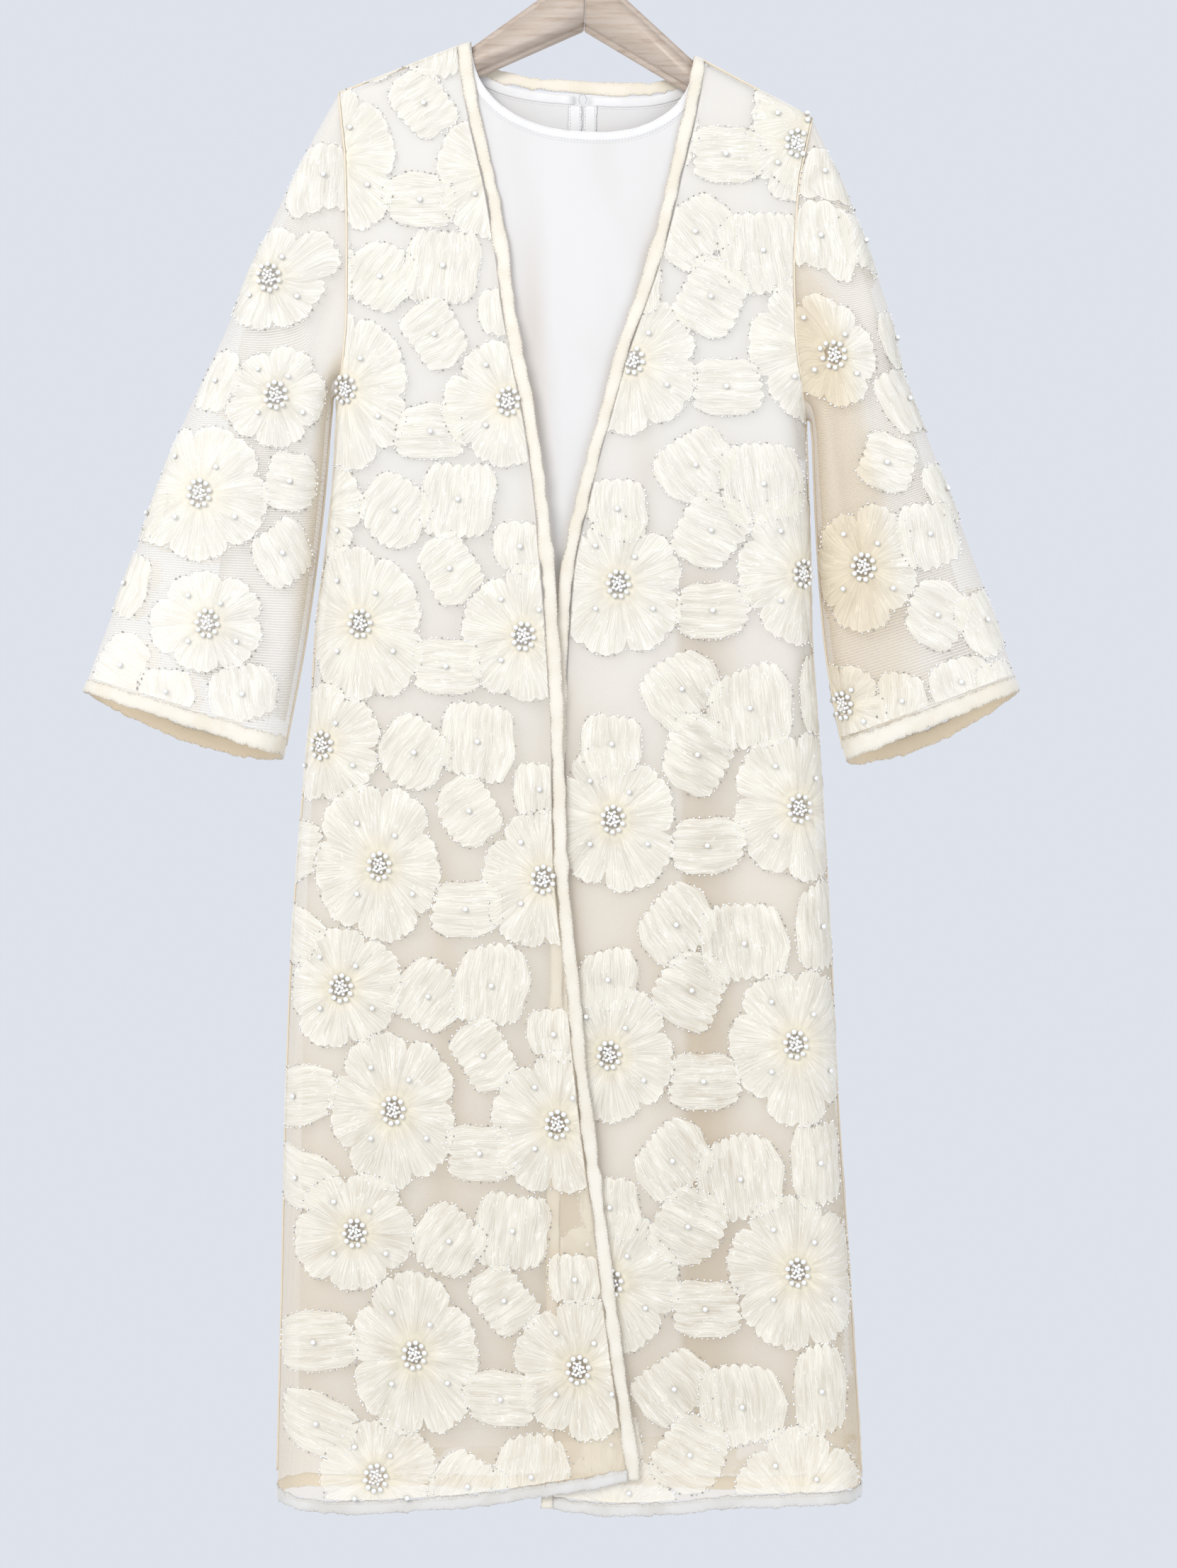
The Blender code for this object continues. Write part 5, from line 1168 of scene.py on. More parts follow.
def ring_mesh(name, rings, finish, looped=False, **values):
    """A closed mesh over rings of points, capped at its ends unless it is looped."""
    count, sides = rings.shape[:2]
    i, j = np.meshgrid(np.arange(count if looped else count - 1), np.arange(sides), indexing="ij")
    n, k = (i + 1) % count, (j + 1) % sides
    faces = np.stack((i * sides + j, i * sides + k, n * sides + k, n * sides + j), -1).reshape(-1, 4).tolist()
    if not looped:
        faces += [list(range(sides)), list(range((count - 1) * sides, count * sides))]
    item = make_mesh(name, rings.reshape(-1, 3), faces, finish, **values)
    with edited(item.data) as work:
        bmesh.ops.recalc_face_normals(work, faces=work.faces[:])
    return item


def joined(name, items):
    """Several meshes made one object."""
    with bpy.context.temp_override(active_object=items[0], selected_editable_objects=items):
        bpy.ops.object.join()
    items[0].name = name
    items[0].data.name = name
    return items[0]


# %% The turned edges of the fronts, the back neck, the hems and the cuffs
EDGE_THICK = 1.9 * MM
EDGE_UNDER = np.sin(ROLL_TURN) < -0.1
EDGE_FRINGE = np.abs(np.cos(ROLL_TURN)) ** 6
STEP = 2.6 * MM


def neck_line(layer, neck, widen, count=61):
    """A neckline in flat coordinates, from the left neck point to the right one."""
    x = neck_x(neck, widen, count)
    return np.stack((x, neck_top(layer, neck, x, widen)), -1)


def edge_marks(rings, peach=1.0):
    """Which points of a roll lie underneath, and which on its fringe."""
    return {"under": np.tile(peach * EDGE_UNDER, len(rings)), "fringe": np.tile(EDGE_FRINGE, len(rings))}


def turned_edge(name, node, place, first, second, seed, finish="band", peach=1.0):
    """A turned edge along two flat lines, in place of its CAD node."""
    rings = roll_rings(place, first, second, EDGE_THICK, seed=seed)
    item = ring_mesh(name, rings, finish, **edge_marks(rings, peach))
    return keep(item, "edge_band", node)


def front_edge(which, seed):
    """The turned edge of one front, from the hem to the shoulder."""
    edge, hem = FRONT_EDGES[which], COAT_HEMS[which]
    low, high = -1340 * MM, -130 * MM
    for _ in range(8):
        low = float(hem_z(hem, edge_x(edge, low)))
        high = float(seam_top("coat", edge_x(edge, high)))
    z = np.linspace(low, high, int((high - low) / STEP))
    x = edge_x(edge, z)
    lines = [np.stack((line, z), -1) for line in (x, x + SIGN[which] * BAND_WIDTH)]
    return turned_edge(f"edge_front_{which}", f"front_band_{which}", SKINS[which], *lines, seed)


def hem_ends(which):
    """Flat x of both ends of a turned hem: a side seam, or the inside of a front's turned edge."""
    left, right = (seam_x("coat", hand, HEM_LEVEL) for hand in HANDS)
    if which == "right":
        left = edge_x(RIGHT_EDGE, HEM_LEVEL) + BAND_WIDTH
    if which == "left":
        right = edge_x(LEFT_EDGE, LAPPED_HEM_LEVEL) - BAND_WIDTH
    return left, right


def hem_edge(which, seed):
    """The turned hem of one panel."""
    left, right = hem_ends(which)
    x = np.linspace(left, right, int((right - left) / STEP))
    low = hem_z(COAT_HEMS[which], x)
    lines = [np.stack((x, line), -1) for line in (low, low + BAND_WIDTH)]
    return turned_edge(f"edge_hem_{which}", f"hem_band_{which}", SKINS[which], *lines, seed, "hem_band")


def cuff_edge(which, seed):
    """The turned edge of one cuff, all the way round."""
    rings = []
    share = np.linspace(0, 1, 70)
    for back in (False, True):
        part = share[:0:-1] if back else share[:-1]
        lines = [np.stack((cuff_end(part, back, short), part), -1) for short in (0, BAND_WIDTH)]
        rings.append(roll_rings(sleeve_skin("coat", which, back), *lines, EDGE_THICK, lumps=0.2, seed=seed))
    rings = np.concatenate(rings)
    item = ring_mesh(f"edge_cuff_{which}", rings, "band", looped=True, **edge_marks(rings))
    return keep(item, "edge_band", f"cuff_band_{which}")


edges = {
    "neck": turned_edge(
        "edge_neck_back", "neck_band_back", SKINS["back"],
        neck_line("coat", COAT_BACK_NECK, 0), neck_line("coat", COAT_BACK_NECK, BAND_WIDTH), 21, peach=0.15,
    ),
    "hem_back": hem_edge("back", 22),
}
for seed, which in ((31, "left"), (41, "right")):
    edges[f"front_{which}"] = front_edge(which, seed)
    edges[f"hem_{which}"] = hem_edge(which, seed + 1)
    edges[f"cuff_{which}"] = cuff_edge(which, seed + 2)
print("turned edges:", len(edges))

# %% The seams of the coat: shoulders, armholes, sides and sleeves
SEAM_CORD = 0.9 * MM
SEAM_FOOT = -1.33


def coat_seams():
    """Thin cords along the coat's seams, as one piece."""
    cords = []
    for which in HANDS:
        place = body_skin("coat", creased=False)
        hole = place(*armhole_at("coat", which, np.linspace(0, 1, 60)), 0.3 * MM)
        ring = np.concatenate((hole, hole[-2:0:-1] * (1, -1, 1)))
        cords.append((ring, True))
        z = np.linspace(armhole("coat", which)[1][-1], SEAM_FOOT, 130)
        cords.append((place(seam_x("coat", which, z), z, 0.2 * MM) * (1, 0, 1), False))
        along = np.linspace(0, 0.98, 70)
        cords.append((sleeve_skin("coat", which, False)(along, np.ones(70), 0.2 * MM) * (1, 0, 1), False))
        x = np.linspace(NECK_X + SIGN[which] * (NECK_HALF + 4 * MM), armhole("coat", which)[0][0], 30)
        cords.append((place(x, seam_top("coat", x), 0.3 * MM) * (1, 0, 1), False))
    made = []
    for number, (path, looped) in enumerate(cords):
        made.append(ring_mesh(f"seam_{number}", cord_rings(path, SEAM_CORD), "seam", looped=looped))
    return keep(joined("coat_seams", made), "net")


seams = coat_seams()

# %% [markdown]
# ## The slip
#
# The slip is plain and white. Its front carries the one deep fold of the photograph: a sharp edge on
# the left, a shaded bed, and a soft return. The bed is darker because little light gets in, so the
# fold also marks its points with a shade that the cloth's colour reads.

# %% The slip's front and back
SLIT_HALF = 0.9 * MM
SLIP_SKINS = {"front": body_skin("slip"), "back": body_skin("slip", back=True)}


def slip_panel(which):
    """The slip's front, or its back with the slit left open."""
    neck = SLIP_FRONT_NECK if which == "front" else SLIP_BACK_NECK
    columns = neck_columns("slip", neck, BINDING_WIDTH)
    if which == "back":
        left, right = (armhole("slip", hand)[0][0] for hand in HANDS)
        cut = (NECK_X + np.array((-SLIT_HALF, SLIT_HALF)) - left) / (right - left)
        columns = np.union1d(columns[np.abs(columns - cut.mean()) > 0.004], cut)
    x, z = flat_grid(
        *both_sides("slip"), lambda x: hem_z(SLIP_HEM, x),
        lambda x: neck_top("slip", neck, x, BINDING_WIDTH - MM), columns,
    )
    faces = grid_faces(*x.shape, turned=which == "back")
    if which == "back":
        middle = np.searchsorted(columns, cut[0])
        foot = neck_top("slip", neck, NECK_X, BINDING_WIDTH) - SLIT_LENGTH
        column = faces.min(axis=1) % len(columns)
        row_low = z[:, middle][faces.min(axis=1) // len(columns)]
        faces = faces[(column != middle) | (row_low < foot)]
    points = SLIP_SKINS[which](x, z, NET_IN)
    shade = 0.95 * pleat(x, z) if which == "front" else 0 * x
    shade = shade + 0.5 * np.clip(-creases(SLIP_CREASES[which], x, z) / (1.6 * MM), 0, 1)
    shade = np.clip(shade, 0, 1)
    item = make_mesh(f"slip_cloth_{which}", points.reshape(-1, 3), faces, "slip", flat_map(x, z), shade=shade)
    return keep(item, "slip_cloth", f"slip_{which}")


slip_panels = {which: slip_panel(which) for which in ("front", "back")}

# %% The binding of the slip's neck and the facings of its slit
BINDING_THICK = 1.7 * MM


def binding(name, node, place, neck, ends, seed):
    """A flat folded binding along the neckline, between two shares of it."""
    count = int(90 * (ends[1] - ends[0]))
    lines = []
    for widen in (0, BINDING_WIDTH):
        line = neck_line("slip", neck, widen, 181)
        steps = np.linspace(ends[0], ends[1], count) * 180
        lines.append(np.stack([np.interp(steps, np.arange(181), line[:, k]) for k in (0, 1)], -1))
    rings = roll_rings(place, *lines, BINDING_THICK, lumps=0.06, seed=seed)
    item = ring_mesh(name, rings, "binding", under=np.tile(EDGE_UNDER, len(rings)))
    return keep(item, "slip_binding", node)


bindings = [
    binding("binding_front", "slip_neck_front", SLIP_SKINS["front"], SLIP_FRONT_NECK, (0, 1), 51),
    binding("binding_back_left", "slip_neck_back_left", SLIP_SKINS["back"], SLIP_BACK_NECK, (0, 0.494), 52),
    binding("binding_back_right", "slip_neck_back_right", SLIP_SKINS["back"], SLIP_BACK_NECK, (0.506, 1), 53),
]
FACING = 12 * MM


def slit_facings():
    """Two narrow facings, one on each side of the slit, on the inside of the back."""
    made = []
    top = float(neck_top("slip", SLIP_BACK_NECK, NECK_X, BINDING_WIDTH))
    z = np.linspace(top - SLIT_LENGTH - FACING, top, 34)
    for sign in (-1, 1):
        lines = [np.stack((NECK_X + sign * width + 0 * z, z), -1) for width in (1.0 * MM, FACING)]
        rings = roll_rings(SLIP_SKINS["back"], *lines, 0.8 * MM, lumps=0.1, middle=-1.3 * MM, seed=60 + sign)
        made.append(ring_mesh(f"facing_{sign}", rings, "binding"))
    return keep(joined("slit_facings", made), "slip_binding")


facings = slit_facings()
loop_turn = np.linspace(-0.3 * math.pi, 1.3 * math.pi, 26)
loop_height = neck_top("slip", SLIP_BACK_NECK, NECK_X, 3 * MM)
loop_top = SLIP_SKINS["back"](np.array([NECK_X]), np.array([loop_height]), -1.8 * MM)[0]
loop_arc = (3.2 * MM * np.cos(loop_turn), 0 * loop_turn, 4.2 * MM * np.sin(loop_turn))
loop_path = loop_top + np.stack(loop_arc, -1)
thread_loop = keep(ring_mesh("thread_loop", cord_rings(loop_path, 0.45 * MM), "stitch"), "slip_binding")
print("slip:", [item.name for item in (*slip_panels.values(), *bindings, facings, thread_loop)])

# %% [markdown]
# ## The hanger
#
# Two beech arms meet in a mitre above the neck. The arms are copies of the solids, merged and with
# their long edges softened, so they keep the part's own sizes. The hook is a wire of round section.


# %% The wooden arms and the wire hook
def from_node(node, name, finish):
    """A merged copy of a CAD node's mesh, as a piece of its own."""
    source = bpy.data.objects[node]
    mesh = source.data.copy()
    mesh.name = name
    mesh.materials.clear()
    mesh.materials.append(FINISHES[finish])
    flat, steep = math.radians(2), math.radians(20)
    with edited(mesh) as work:
        bmesh.ops.remove_doubles(work, verts=work.verts[:], dist=0.02 * MM)
        bmesh.ops.dissolve_limit(work, angle_limit=flat, verts=work.verts[:], edges=work.edges[:])
        between = [edge for edge in work.edges if len(edge.link_faces) == 2]
        sharp = [edge for edge in between if edge.calc_face_angle() > steep]
        bmesh.ops.bevel(work, geom=sharp, offset=0.8 * MM, segments=2, affect="EDGES", clamp_overlap=True)
        for face in work.faces:
            face.smooth = True
    return link_object(name, mesh)


arms = {}
for which in HANDS:
    arm = from_node(f"hanger_arm_{which}", f"arm_{which}", f"wood_{which}")
    arms[which] = keep(arm, "beech", f"hanger_arm_{which}")

# The hook's path: from the collar on the wood up round the rail, in x and z
WIRE = 2.0 * MM
HOOK_RADIUS = 20 * MM
HANGER_CROWN = 53 * MM
COLLAR = (5 * MM, 4 * MM)
COLLAR_SWELL = (0.86, 0.96, 1, 1, 1, 1, 1, 0.94, 0.72)


def make_hook():
    """The wire hook and its collar, as one piece in place of the hook's CAD node."""
    foot = np.array(from_hanger(0, HANGER_CROWN)) + (0, 0.3 * MM)
    angle = np.radians(np.linspace(-48, 222, 60))
    ring = np.stack((HOOK_RADIUS * np.cos(angle), WIRE - HOOK_RADIUS + HOOK_RADIUS * np.sin(angle)), -1)
    t = np.linspace(0, 1, 14)[:-1, None]
    start, lean = foot + (0, 12 * MM), foot + (3 * MM, 21 * MM)
    bend = (1 - t) ** 2 * start + 2 * t * (1 - t) * lean + t * t * ring[0]
    path = np.concatenate((np.linspace(foot, start, 5)[:-1], bend, ring))
    path = np.stack((path[:, 0], 0 * path[:, 0], path[:, 1]), -1)
    wire = cord_rings(path, WIRE, 16)
    cap = wire[-1].mean(axis=0) + (wire[-1] - wire[-1].mean(axis=0)) * np.array((0.8, 0.45))[:, None, None]
    push = (path[-1] - path[-2]) / np.linalg.norm(path[-1] - path[-2])
    wire = np.concatenate((wire, cap + push * np.array((1.2, 1.8))[:, None, None] * MM))
    level = np.linspace(0, 1, len(COLLAR_SWELL))
    collar_path = np.stack((0 * level + foot[0], 0 * level, foot[1] + COLLAR[1] * level), -1)
    collar = cord_rings(collar_path, COLLAR[0], 28)
    collar = collar_path[:, None] + (collar - collar_path[:, None]) * np.array(COLLAR_SWELL)[:, None, None]
    made = [ring_mesh("wire", wire, "metal"), ring_mesh("collar", collar, "metal")]
    return keep(joined("hook_wire", made), "hook_metal", "hanger_hook")


hook = make_hook()
print("hanger:", [item.name for item in (*arms.values(), hook)])

# %% [markdown]
# ## The flowers
#
# Each flower is tulle that is gathered round a ring and fans out in lobes; each petal is a strip of
# tulle that is gathered across. A flower is a polar grid and a petal a square one. Ridges run along
# the gathers, and the rim ends in small loops. A motif is laid out flat first. Where it passes the
# edge of its panel it is cut there, as it would be on the table, and then it is lifted to the
# panel's own surface.
#
# The charts follow the photograph: one group of motifs, repeated down each front.

# %% The charts, in millimetres from the ring of each group's main flower
# Each motif: its kind, its place across and up, its width and height, and its turn in degrees
RIGHT_GROUP = (
    ("flower", 0, 0, 108, 116, 0), ("flower", 156, 9, 112, 128, 15), ("petal", -1, 63, 50, 50, 0),
    ("petal", 79, -22, 47, 60, 90), ("petal", 53, -88, 66, 54, 38), ("petal", 110, -104, 72, 68, 8),
    ("petal", 66, -143, 64, 56, 62), ("petal", 176, -90, 46, 72, 4),
)
LEFT_GROUP = (
    ("flower", 0, 0, 104, 130, 10), ("flower", 137, -11, 104, 112, 0), ("flower", -32, -102, 98, 94, 25),
    ("petal", -84, 11, 50, 70, 96), ("petal", -82, -57, 48, 68, 70),
    ("petal", 29, 95, 58, 54, -35), ("petal", 82, 104, 62, 66, -6), ("petal", 75, 46, 58, 46, -55),
    ("petal", 72, -36, 46, 58, 90), ("petal", 134, 64, 44, 42, 0),
)
RIGHT_RINGS = (
    (36.7, -197), (36.7, -394), (25, -582), (20.3, -779), (17, -976), (18.4, -1166), (20, -1363),
)
LEFT_RINGS = (
    (-214, -222), (-204.6, -418), (-191.5, -615), (-175, -818), (-163.3, -1022), (-145.6, -1226),
    (-130, -1430),
)
BACK_ROWS = range(-1, 6)
BACK_COLUMNS = ((-1, 0, -300), (1, 75, -340))
BACK_PITCH = 197
SLEEVE_MOTIFS = {
    "left": (
        ("flower", -268, -325, 88, 88, 0), ("flower", -262, -424, 84, 80, 30),
        ("flower", -326, -506, 112, 112, 10), ("flower", -319, -615, 90, 84, 0),
        ("petal", -312, -412, 34, 52, -20), ("petal", -392, -580, 46, 56, -20),
        ("petal", -392, -650, 54, 42, 60), ("petal", -250, -496, 48, 44, 80),
        ("petal", -256, -556, 48, 52, 30), ("petal", -290, -674, 58, 46, 10),
        ("petal", -234, -250, 42, 56, 0), ("petal", -354, -672, 46, 38, 0),
        ("petal", -375, -520, 36, 50, -30),
    ),
    "right": (
        ("flower", 206, -390, 70, 88, 20), ("flower", 230, -568, 92, 100, 0),
        ("flower", 212, -684, 70, 70, 0), ("petal", 206, -300, 36, 56, 0),
        ("petal", 234, -292, 40, 50, -20), ("petal", 262, -372, 36, 52, 20),
        ("petal", 270, -426, 50, 58, 30), ("petal", 250, -480, 46, 48, 70),
        ("petal", 304, -500, 40, 50, 30), ("petal", 286, -540, 52, 56, 10),
        ("petal", 292, -608, 54, 50, 60), ("petal", 334, -612, 48, 56, 30),
        ("petal", 312, -664, 54, 38, 20), ("petal", 262, -680, 42, 46, 0),
        ("petal", 346, -666, 38, 40, 20), ("petal", 210, -250, 34, 40, 0),
    ),
}
LOOSE_FLOWER = ("flower", 175.7, -210, 92, 92, 0)


def group_motifs(group, rings, mirror=1):
    """Motifs of a group repeated at each ring, in metres."""
    made = []
    for x, z in rings:
        for kind, across, up, width, height, turn in group:
            made.append((kind, x + mirror * across, z + up, width, height, mirror * turn))
    return made


def in_metres(motifs):
    """Motifs with their sizes in metres and their turn in radians."""
    return [(kind, x * MM, z * MM, w * MM, h * MM, math.radians(turn)) for kind, x, z, w, h, turn in motifs]


# %% One motif, laid flat
FLOWER_STEPS = (168, 10)
PETAL_STEPS = (41, 15)
RING_RADIUS = 9 * MM
LOBES = 5


def flat_flower(width, height, pick):
    """A flower's flat points, lifts, map, core and rim, on a polar grid."""
    count, depth = FLOWER_STEPS
    angle = np.linspace(0, 2 * math.pi, count + 1)
    cuts = np.array([(k + 0.32 * (pick.random() - 0.5)) / LOBES for k in range(LOBES)])
    cuts = np.append(cuts, 1 + cuts[0]) + pick.random() / LOBES
    turn = (angle / (2 * math.pi) - cuts[0]) % 1 + cuts[0]
    lobe = np.clip(np.searchsorted(cuts, turn, side="right") - 1, 0, LOBES - 1)
    part = (turn - cuts[lobe]) / (cuts[lobe + 1] - cuts[lobe])
    tall = np.array([0.93 + 0.13 * pick.random() for _ in range(LOBES)])[lobe]
    halves_of_lobe = np.array([2 + (pick.random() < 0.45) for _ in range(LOBES)])[lobe]
    round_end = np.sin(math.pi * np.clip(part, 0, 1)) ** 0.28
    bulbs = np.abs(np.sin(math.pi * halves_of_lobe * part)) ** 0.5
    loops = np.abs(np.sin(math.pi * 3 * halves_of_lobe * part))
    notch = 1 - round_end
    reach = tall * (0.73 + 0.23 * round_end + 0.06 * bulbs + 0.035 * loops)
    level = np.linspace(0, 1, depth)
    start = RING_RADIUS / (0.5 * max(width, height)) * 0.9
    radius = start + (reach[None] - start) * level[:, None]
    x = radius * 0.5 * width * np.cos(angle)
    z = radius * 0.5 * height * np.sin(angle)
    body = np.sin(level**0.8 * math.pi) ** 0.7
    gathers = 0.6 * np.sin(19 * angle + 5 * cuts[0]) + 0.4 * np.sin(27 * angle + 2 * cuts[1])
    puff = 0.35 + 0.65 * bulbs
    swollen = 1.6 * body[:, None] * (1 - 0.8 * notch) * puff
    lift = (0.3 + swollen + 0.15 * (0.3 + 0.7 * level[:, None]) * gathers) * MM
    across = np.broadcast_to(angle * 0.25 * (width + height) * 0.7, x.shape)
    along = radius * 0.25 * (width + height) + 0 * x + pick.random()
    core = np.clip(1.1 - 2.3 * level, 0, 1)[:, None] ** 1.4 + 0 * x
    edge = np.clip(level * 9 - 8, 0, 1)[:, None] * (0.4 + 0.6 * loops) + 0 * x
    dense = 1 - level[:, None] * (1 - 0.5 * bulbs - 0.5 * loops)
    return x, z, lift, across + pick.random() * 5, along, core, edge, dense


def flat_petal(width, height, pick):
    """A petal's flat points, with its gathers along z."""
    count, depth = PETAL_STEPS
    u, v = np.meshgrid(np.linspace(-1, 1, count), np.linspace(-1, 1, depth))
    shift = 6 * pick.random()
    puffs = max(3, round(width / (10 * MM)))
    wander = 0.22 * np.sin(2.1 * v + 1.4 * u + shift) + 0.12 * np.sin(4.3 * v + 2 * shift)
    run = puffs * (u + 1) / 2 + 0.12 * np.sin(3 * u + shift)
    strips = np.abs(np.sin(math.pi * (run + wander * (1 - u**4))))
    ends = np.abs(np.sin(math.pi * run))
    end = (1 - 0.22 * np.abs(u) ** 4) * (0.86 + 0.14 * ends**0.6) * (1 + 0.06 * np.sin(2.2 * u + 2 * shift))
    side_pull = 1 - 0.13 * np.abs(v) ** 3 + 0.03 * np.sin(5 * v + shift)
    x = 0.5 * width * u * side_pull + 0.9 * MM * np.sin(2.6 * v + shift)
    z = 0.5 * height * v * end + 0.03 * height * np.sin(2 * u + shift)
    dome = (1 - np.abs(u) ** 5) * (1 - np.abs(v) ** 4)
    lift = (0.3 + 0.8 * dome + 0.34 * (0.25 + 0.75 * dome) * strips**0.8) * MM
    edge = np.clip(np.abs(v) * 8 - 7, 0, 1) * ends
    dense = strips**0.7
    across = 0.5 * width * (u + 0.5 * wander * (1 - u**4) / puffs) + 5 * pick.random()
    return x, z, lift, across, 0.5 * height * v + pick.random(), 0 * x, edge, dense


# %% The panels that the motifs lie on: each cuts a flat point and lifts it
class BodyPanel:
    """A front or the back of the coat, as cloth that a motif is laid on."""

    # A cut point is in metres
    unit_area = 1.0

    def __init__(self, which):
        """The left front, the right front or the back."""
        self.which = which
        self.lift = SKINS[which]

    def cut(self, x, z):
        """The nearest flat point that is inside the panel."""
        gap = 1.2 * MM
        low = hem_z(COAT_HEMS[self.which], x) + BAND_WIDTH
        if self.which == "back":
            top = neck_top("coat", COAT_BACK_NECK, x, BAND_WIDTH + BAND_GAP)
        else:
            top = seam_top("coat", x)
        z = np.clip(z, low + gap, top - gap)
        left = panel_side("coat", "left", z)
        right = panel_side("coat", "right", z)
        if self.which == "left":
            right = edge_x(LEFT_EDGE, z) - BAND_WIDTH
        if self.which == "right":
            left = edge_x(RIGHT_EDGE, z) + BAND_WIDTH
        return np.clip(x, left + gap, right - gap), z

    def holds(self, x, z):
        """Which flat points the panel leaves where they are."""
        x, z = np.ravel(x), np.ravel(z)
        cut_x, cut_z = self.cut(x, z)
        return (np.abs(cut_x - x) < 1e-6) & (np.abs(cut_z - z) < 1e-6)

    def warm(self, x, z):
        """How a point is lit: tulle takes half of what the net does."""
        return 0.5 * light_fall(z)


class SleevePanel:
    """A sleeve's front or back half, which runs on round the outer fold, as cloth for motifs."""

    # A cut point is a station and a share, and one by one of them is about this many square metres
    unit_area = 0.085

    def __init__(self, which, back):
        """The left or the right sleeve, and which half of it."""
        self.which = which
        self.back = back

    def cut(self, x, z):
        """The nearest point of the half, as a station and a share."""
        along, share = find_on_sleeve("coat", self.which, x.ravel(), z.ravel())
        end = cuff_end(np.clip(share, 0, 1), self.back, BAND_WIDTH + 1.5 * MM)
        along = np.clip(along, 0.012, end)
        return along.reshape(x.shape), np.clip(share, -0.22, 0.985).reshape(x.shape)

    def holds(self, x, z):
        """Which flat points lie well inside the half."""
        along, share = find_on_sleeve("coat", self.which, np.ravel(x), np.ravel(z))
        end = cuff_end(np.clip(share, 0, 1), self.back, BAND_WIDTH + 3 * MM)
        return (along > 0.02) & (along < end) & (share > -0.2) & (share < 0.97)

    def warm(self, along, share):
        """How a point of a sleeve is lit."""
        return sleeve_shade(self.which, along, share)

    def lift(self, along, share, out):
        """Points in space; a share below 0 is past the outer fold, on the other half."""
        point = sleeve_skin("coat", self.which, self.back)(along, np.abs(share), out)
        point[..., 1] *= np.where(share < 0, -1, 1)
        return point


# %% What is sewn on a motif: pearls, crystals and a beaded outline
# A flower carries a ring of pearls round its crystals, and single pearls at places for a full size
RING_PEARLS = 10
PEARL_RING = (8.6 * MM, 10.6 * MM)
PEARL_PLACES = ((-20, 31), (14, 22), (-20, -20), (30, -20))
PEARL_FLOWER = 112
CRYSTALS = 15
CLUSTER_RADIUS = 5.6 * MM
# The beads of an outline: their pitch, their shift in millimetres and the share that is kept
BEAD_PITCH = 5.0 * MM
BEAD_SHIFT = 0.9
BEADS_KEPT = 0.92
# How far out the middle of each kind lies, over the cloth that it is sewn on
RING_OUT = 3.0 * MM
SINGLE_OUT = 1.9 * MM
CRYSTAL_OUT = 2.4 * MM
PETAL_PEARL_OUT = 2.0 * MM
BEAD_OUT = 0.9 * MM
# Past this distance a bead is left out where the cloth turns away at the side
PROUD = NET_IN + 2.5 * MM


class Sewing:
    """Points that beads are set on, with the surface's normal, the run along it and a size."""

    def __init__(self):
        """No points yet."""
        self.rows = []

    def add(self, panel, x, z, out, turn, size):
        """Set beads at flat points, each turned by its angle in the cloth."""
        given = (np.atleast_1d(np.asarray(value, float)) for value in (x, z, out, turn, size))
        x, z, out, turn, size = np.broadcast_arrays(*given)
        moved = panel.cut(x, z)
        ahead = panel.cut(x + 0.5 * MM * np.cos(turn), z + 0.5 * MM * np.sin(turn))
        beside = panel.cut(x - 0.5 * MM * np.sin(turn), z + 0.5 * MM * np.cos(turn))
        point = panel.lift(*moved, out)
        run = panel.lift(*ahead, out) - point
        rise = panel.lift(*moved, out + MM) - point
        aside = panel.lift(*beside, out) - point
        good = (np.linalg.norm(run, axis=-1) > 0.2 * MM) & (np.linalg.norm(aside, axis=-1) > 0.2 * MM)
        rise = unit(rise)
        good &= (out < PROUD) | (np.abs(rise[:, 1]) > 0.4)
        row = (point, rise, unit(run, 1e-9), size[:, None])
        self.rows.append(np.concatenate(row, 1)[good])

    def table(self):
        """All the points, one to a row."""
        return np.concatenate(self.rows)


def motif_rim(kind, x, z, middle):
    """The line that a motif's beads follow, a little outside its cloth."""
    if kind == "flower":
        rim = np.stack((x[-1], z[-1]), -1)
    else:
        rim = np.concatenate((
            np.stack((x[0], z[0]), -1)[:-1], np.stack((x[:, -1], z[:, -1]), -1)[:-1],
            np.stack((x[-1], z[-1]), -1)[:0:-1], np.stack((x[:, 0], z[:, 0]), -1)[::-1],
        ))
    rim = middle + (rim - middle) * (1 + 1.3 * MM / np.linalg.norm(rim - middle, axis=1))[:, None]
    soft = np.stack([rim[(np.arange(len(rim)) + k) % (len(rim) - 1)] for k in range(-3, 4)])
    return soft.mean(axis=0)


def sew_outline(panel, rim, base, pick, sewing):
    """Small beads along a motif's rim, a little uneven and with a few left out."""
    steps = distances(rim)
    at = np.arange(2 * MM, steps[-1], BEAD_PITCH)
    at = at + np.array([pick.uniform(-BEAD_SHIFT, BEAD_SHIFT) * MM for _ in at])
    at = at[np.array([pick.random() < BEADS_KEPT for _ in at])]
    bx, bz = (np.interp(at, steps, rim[:, k]) for k in (0, 1))
    nx, nz = (np.interp(at + 0.8 * MM, steps, rim[:, k]) for k in (0, 1))
    held = panel.holds(bx, bz)
    if held.any():
        wobble = np.array([pick.uniform(-0.3, 0.3) for _ in range(held.sum())])
        heading = np.arctan2(nz - bz, nx - bx)[held] + wobble
        size = np.array([pick.uniform(0.75, 1.2) for _ in range(held.sum())])
        sewing["bead"].add(panel, bx[held], bz[held], base + BEAD_OUT, heading, size)


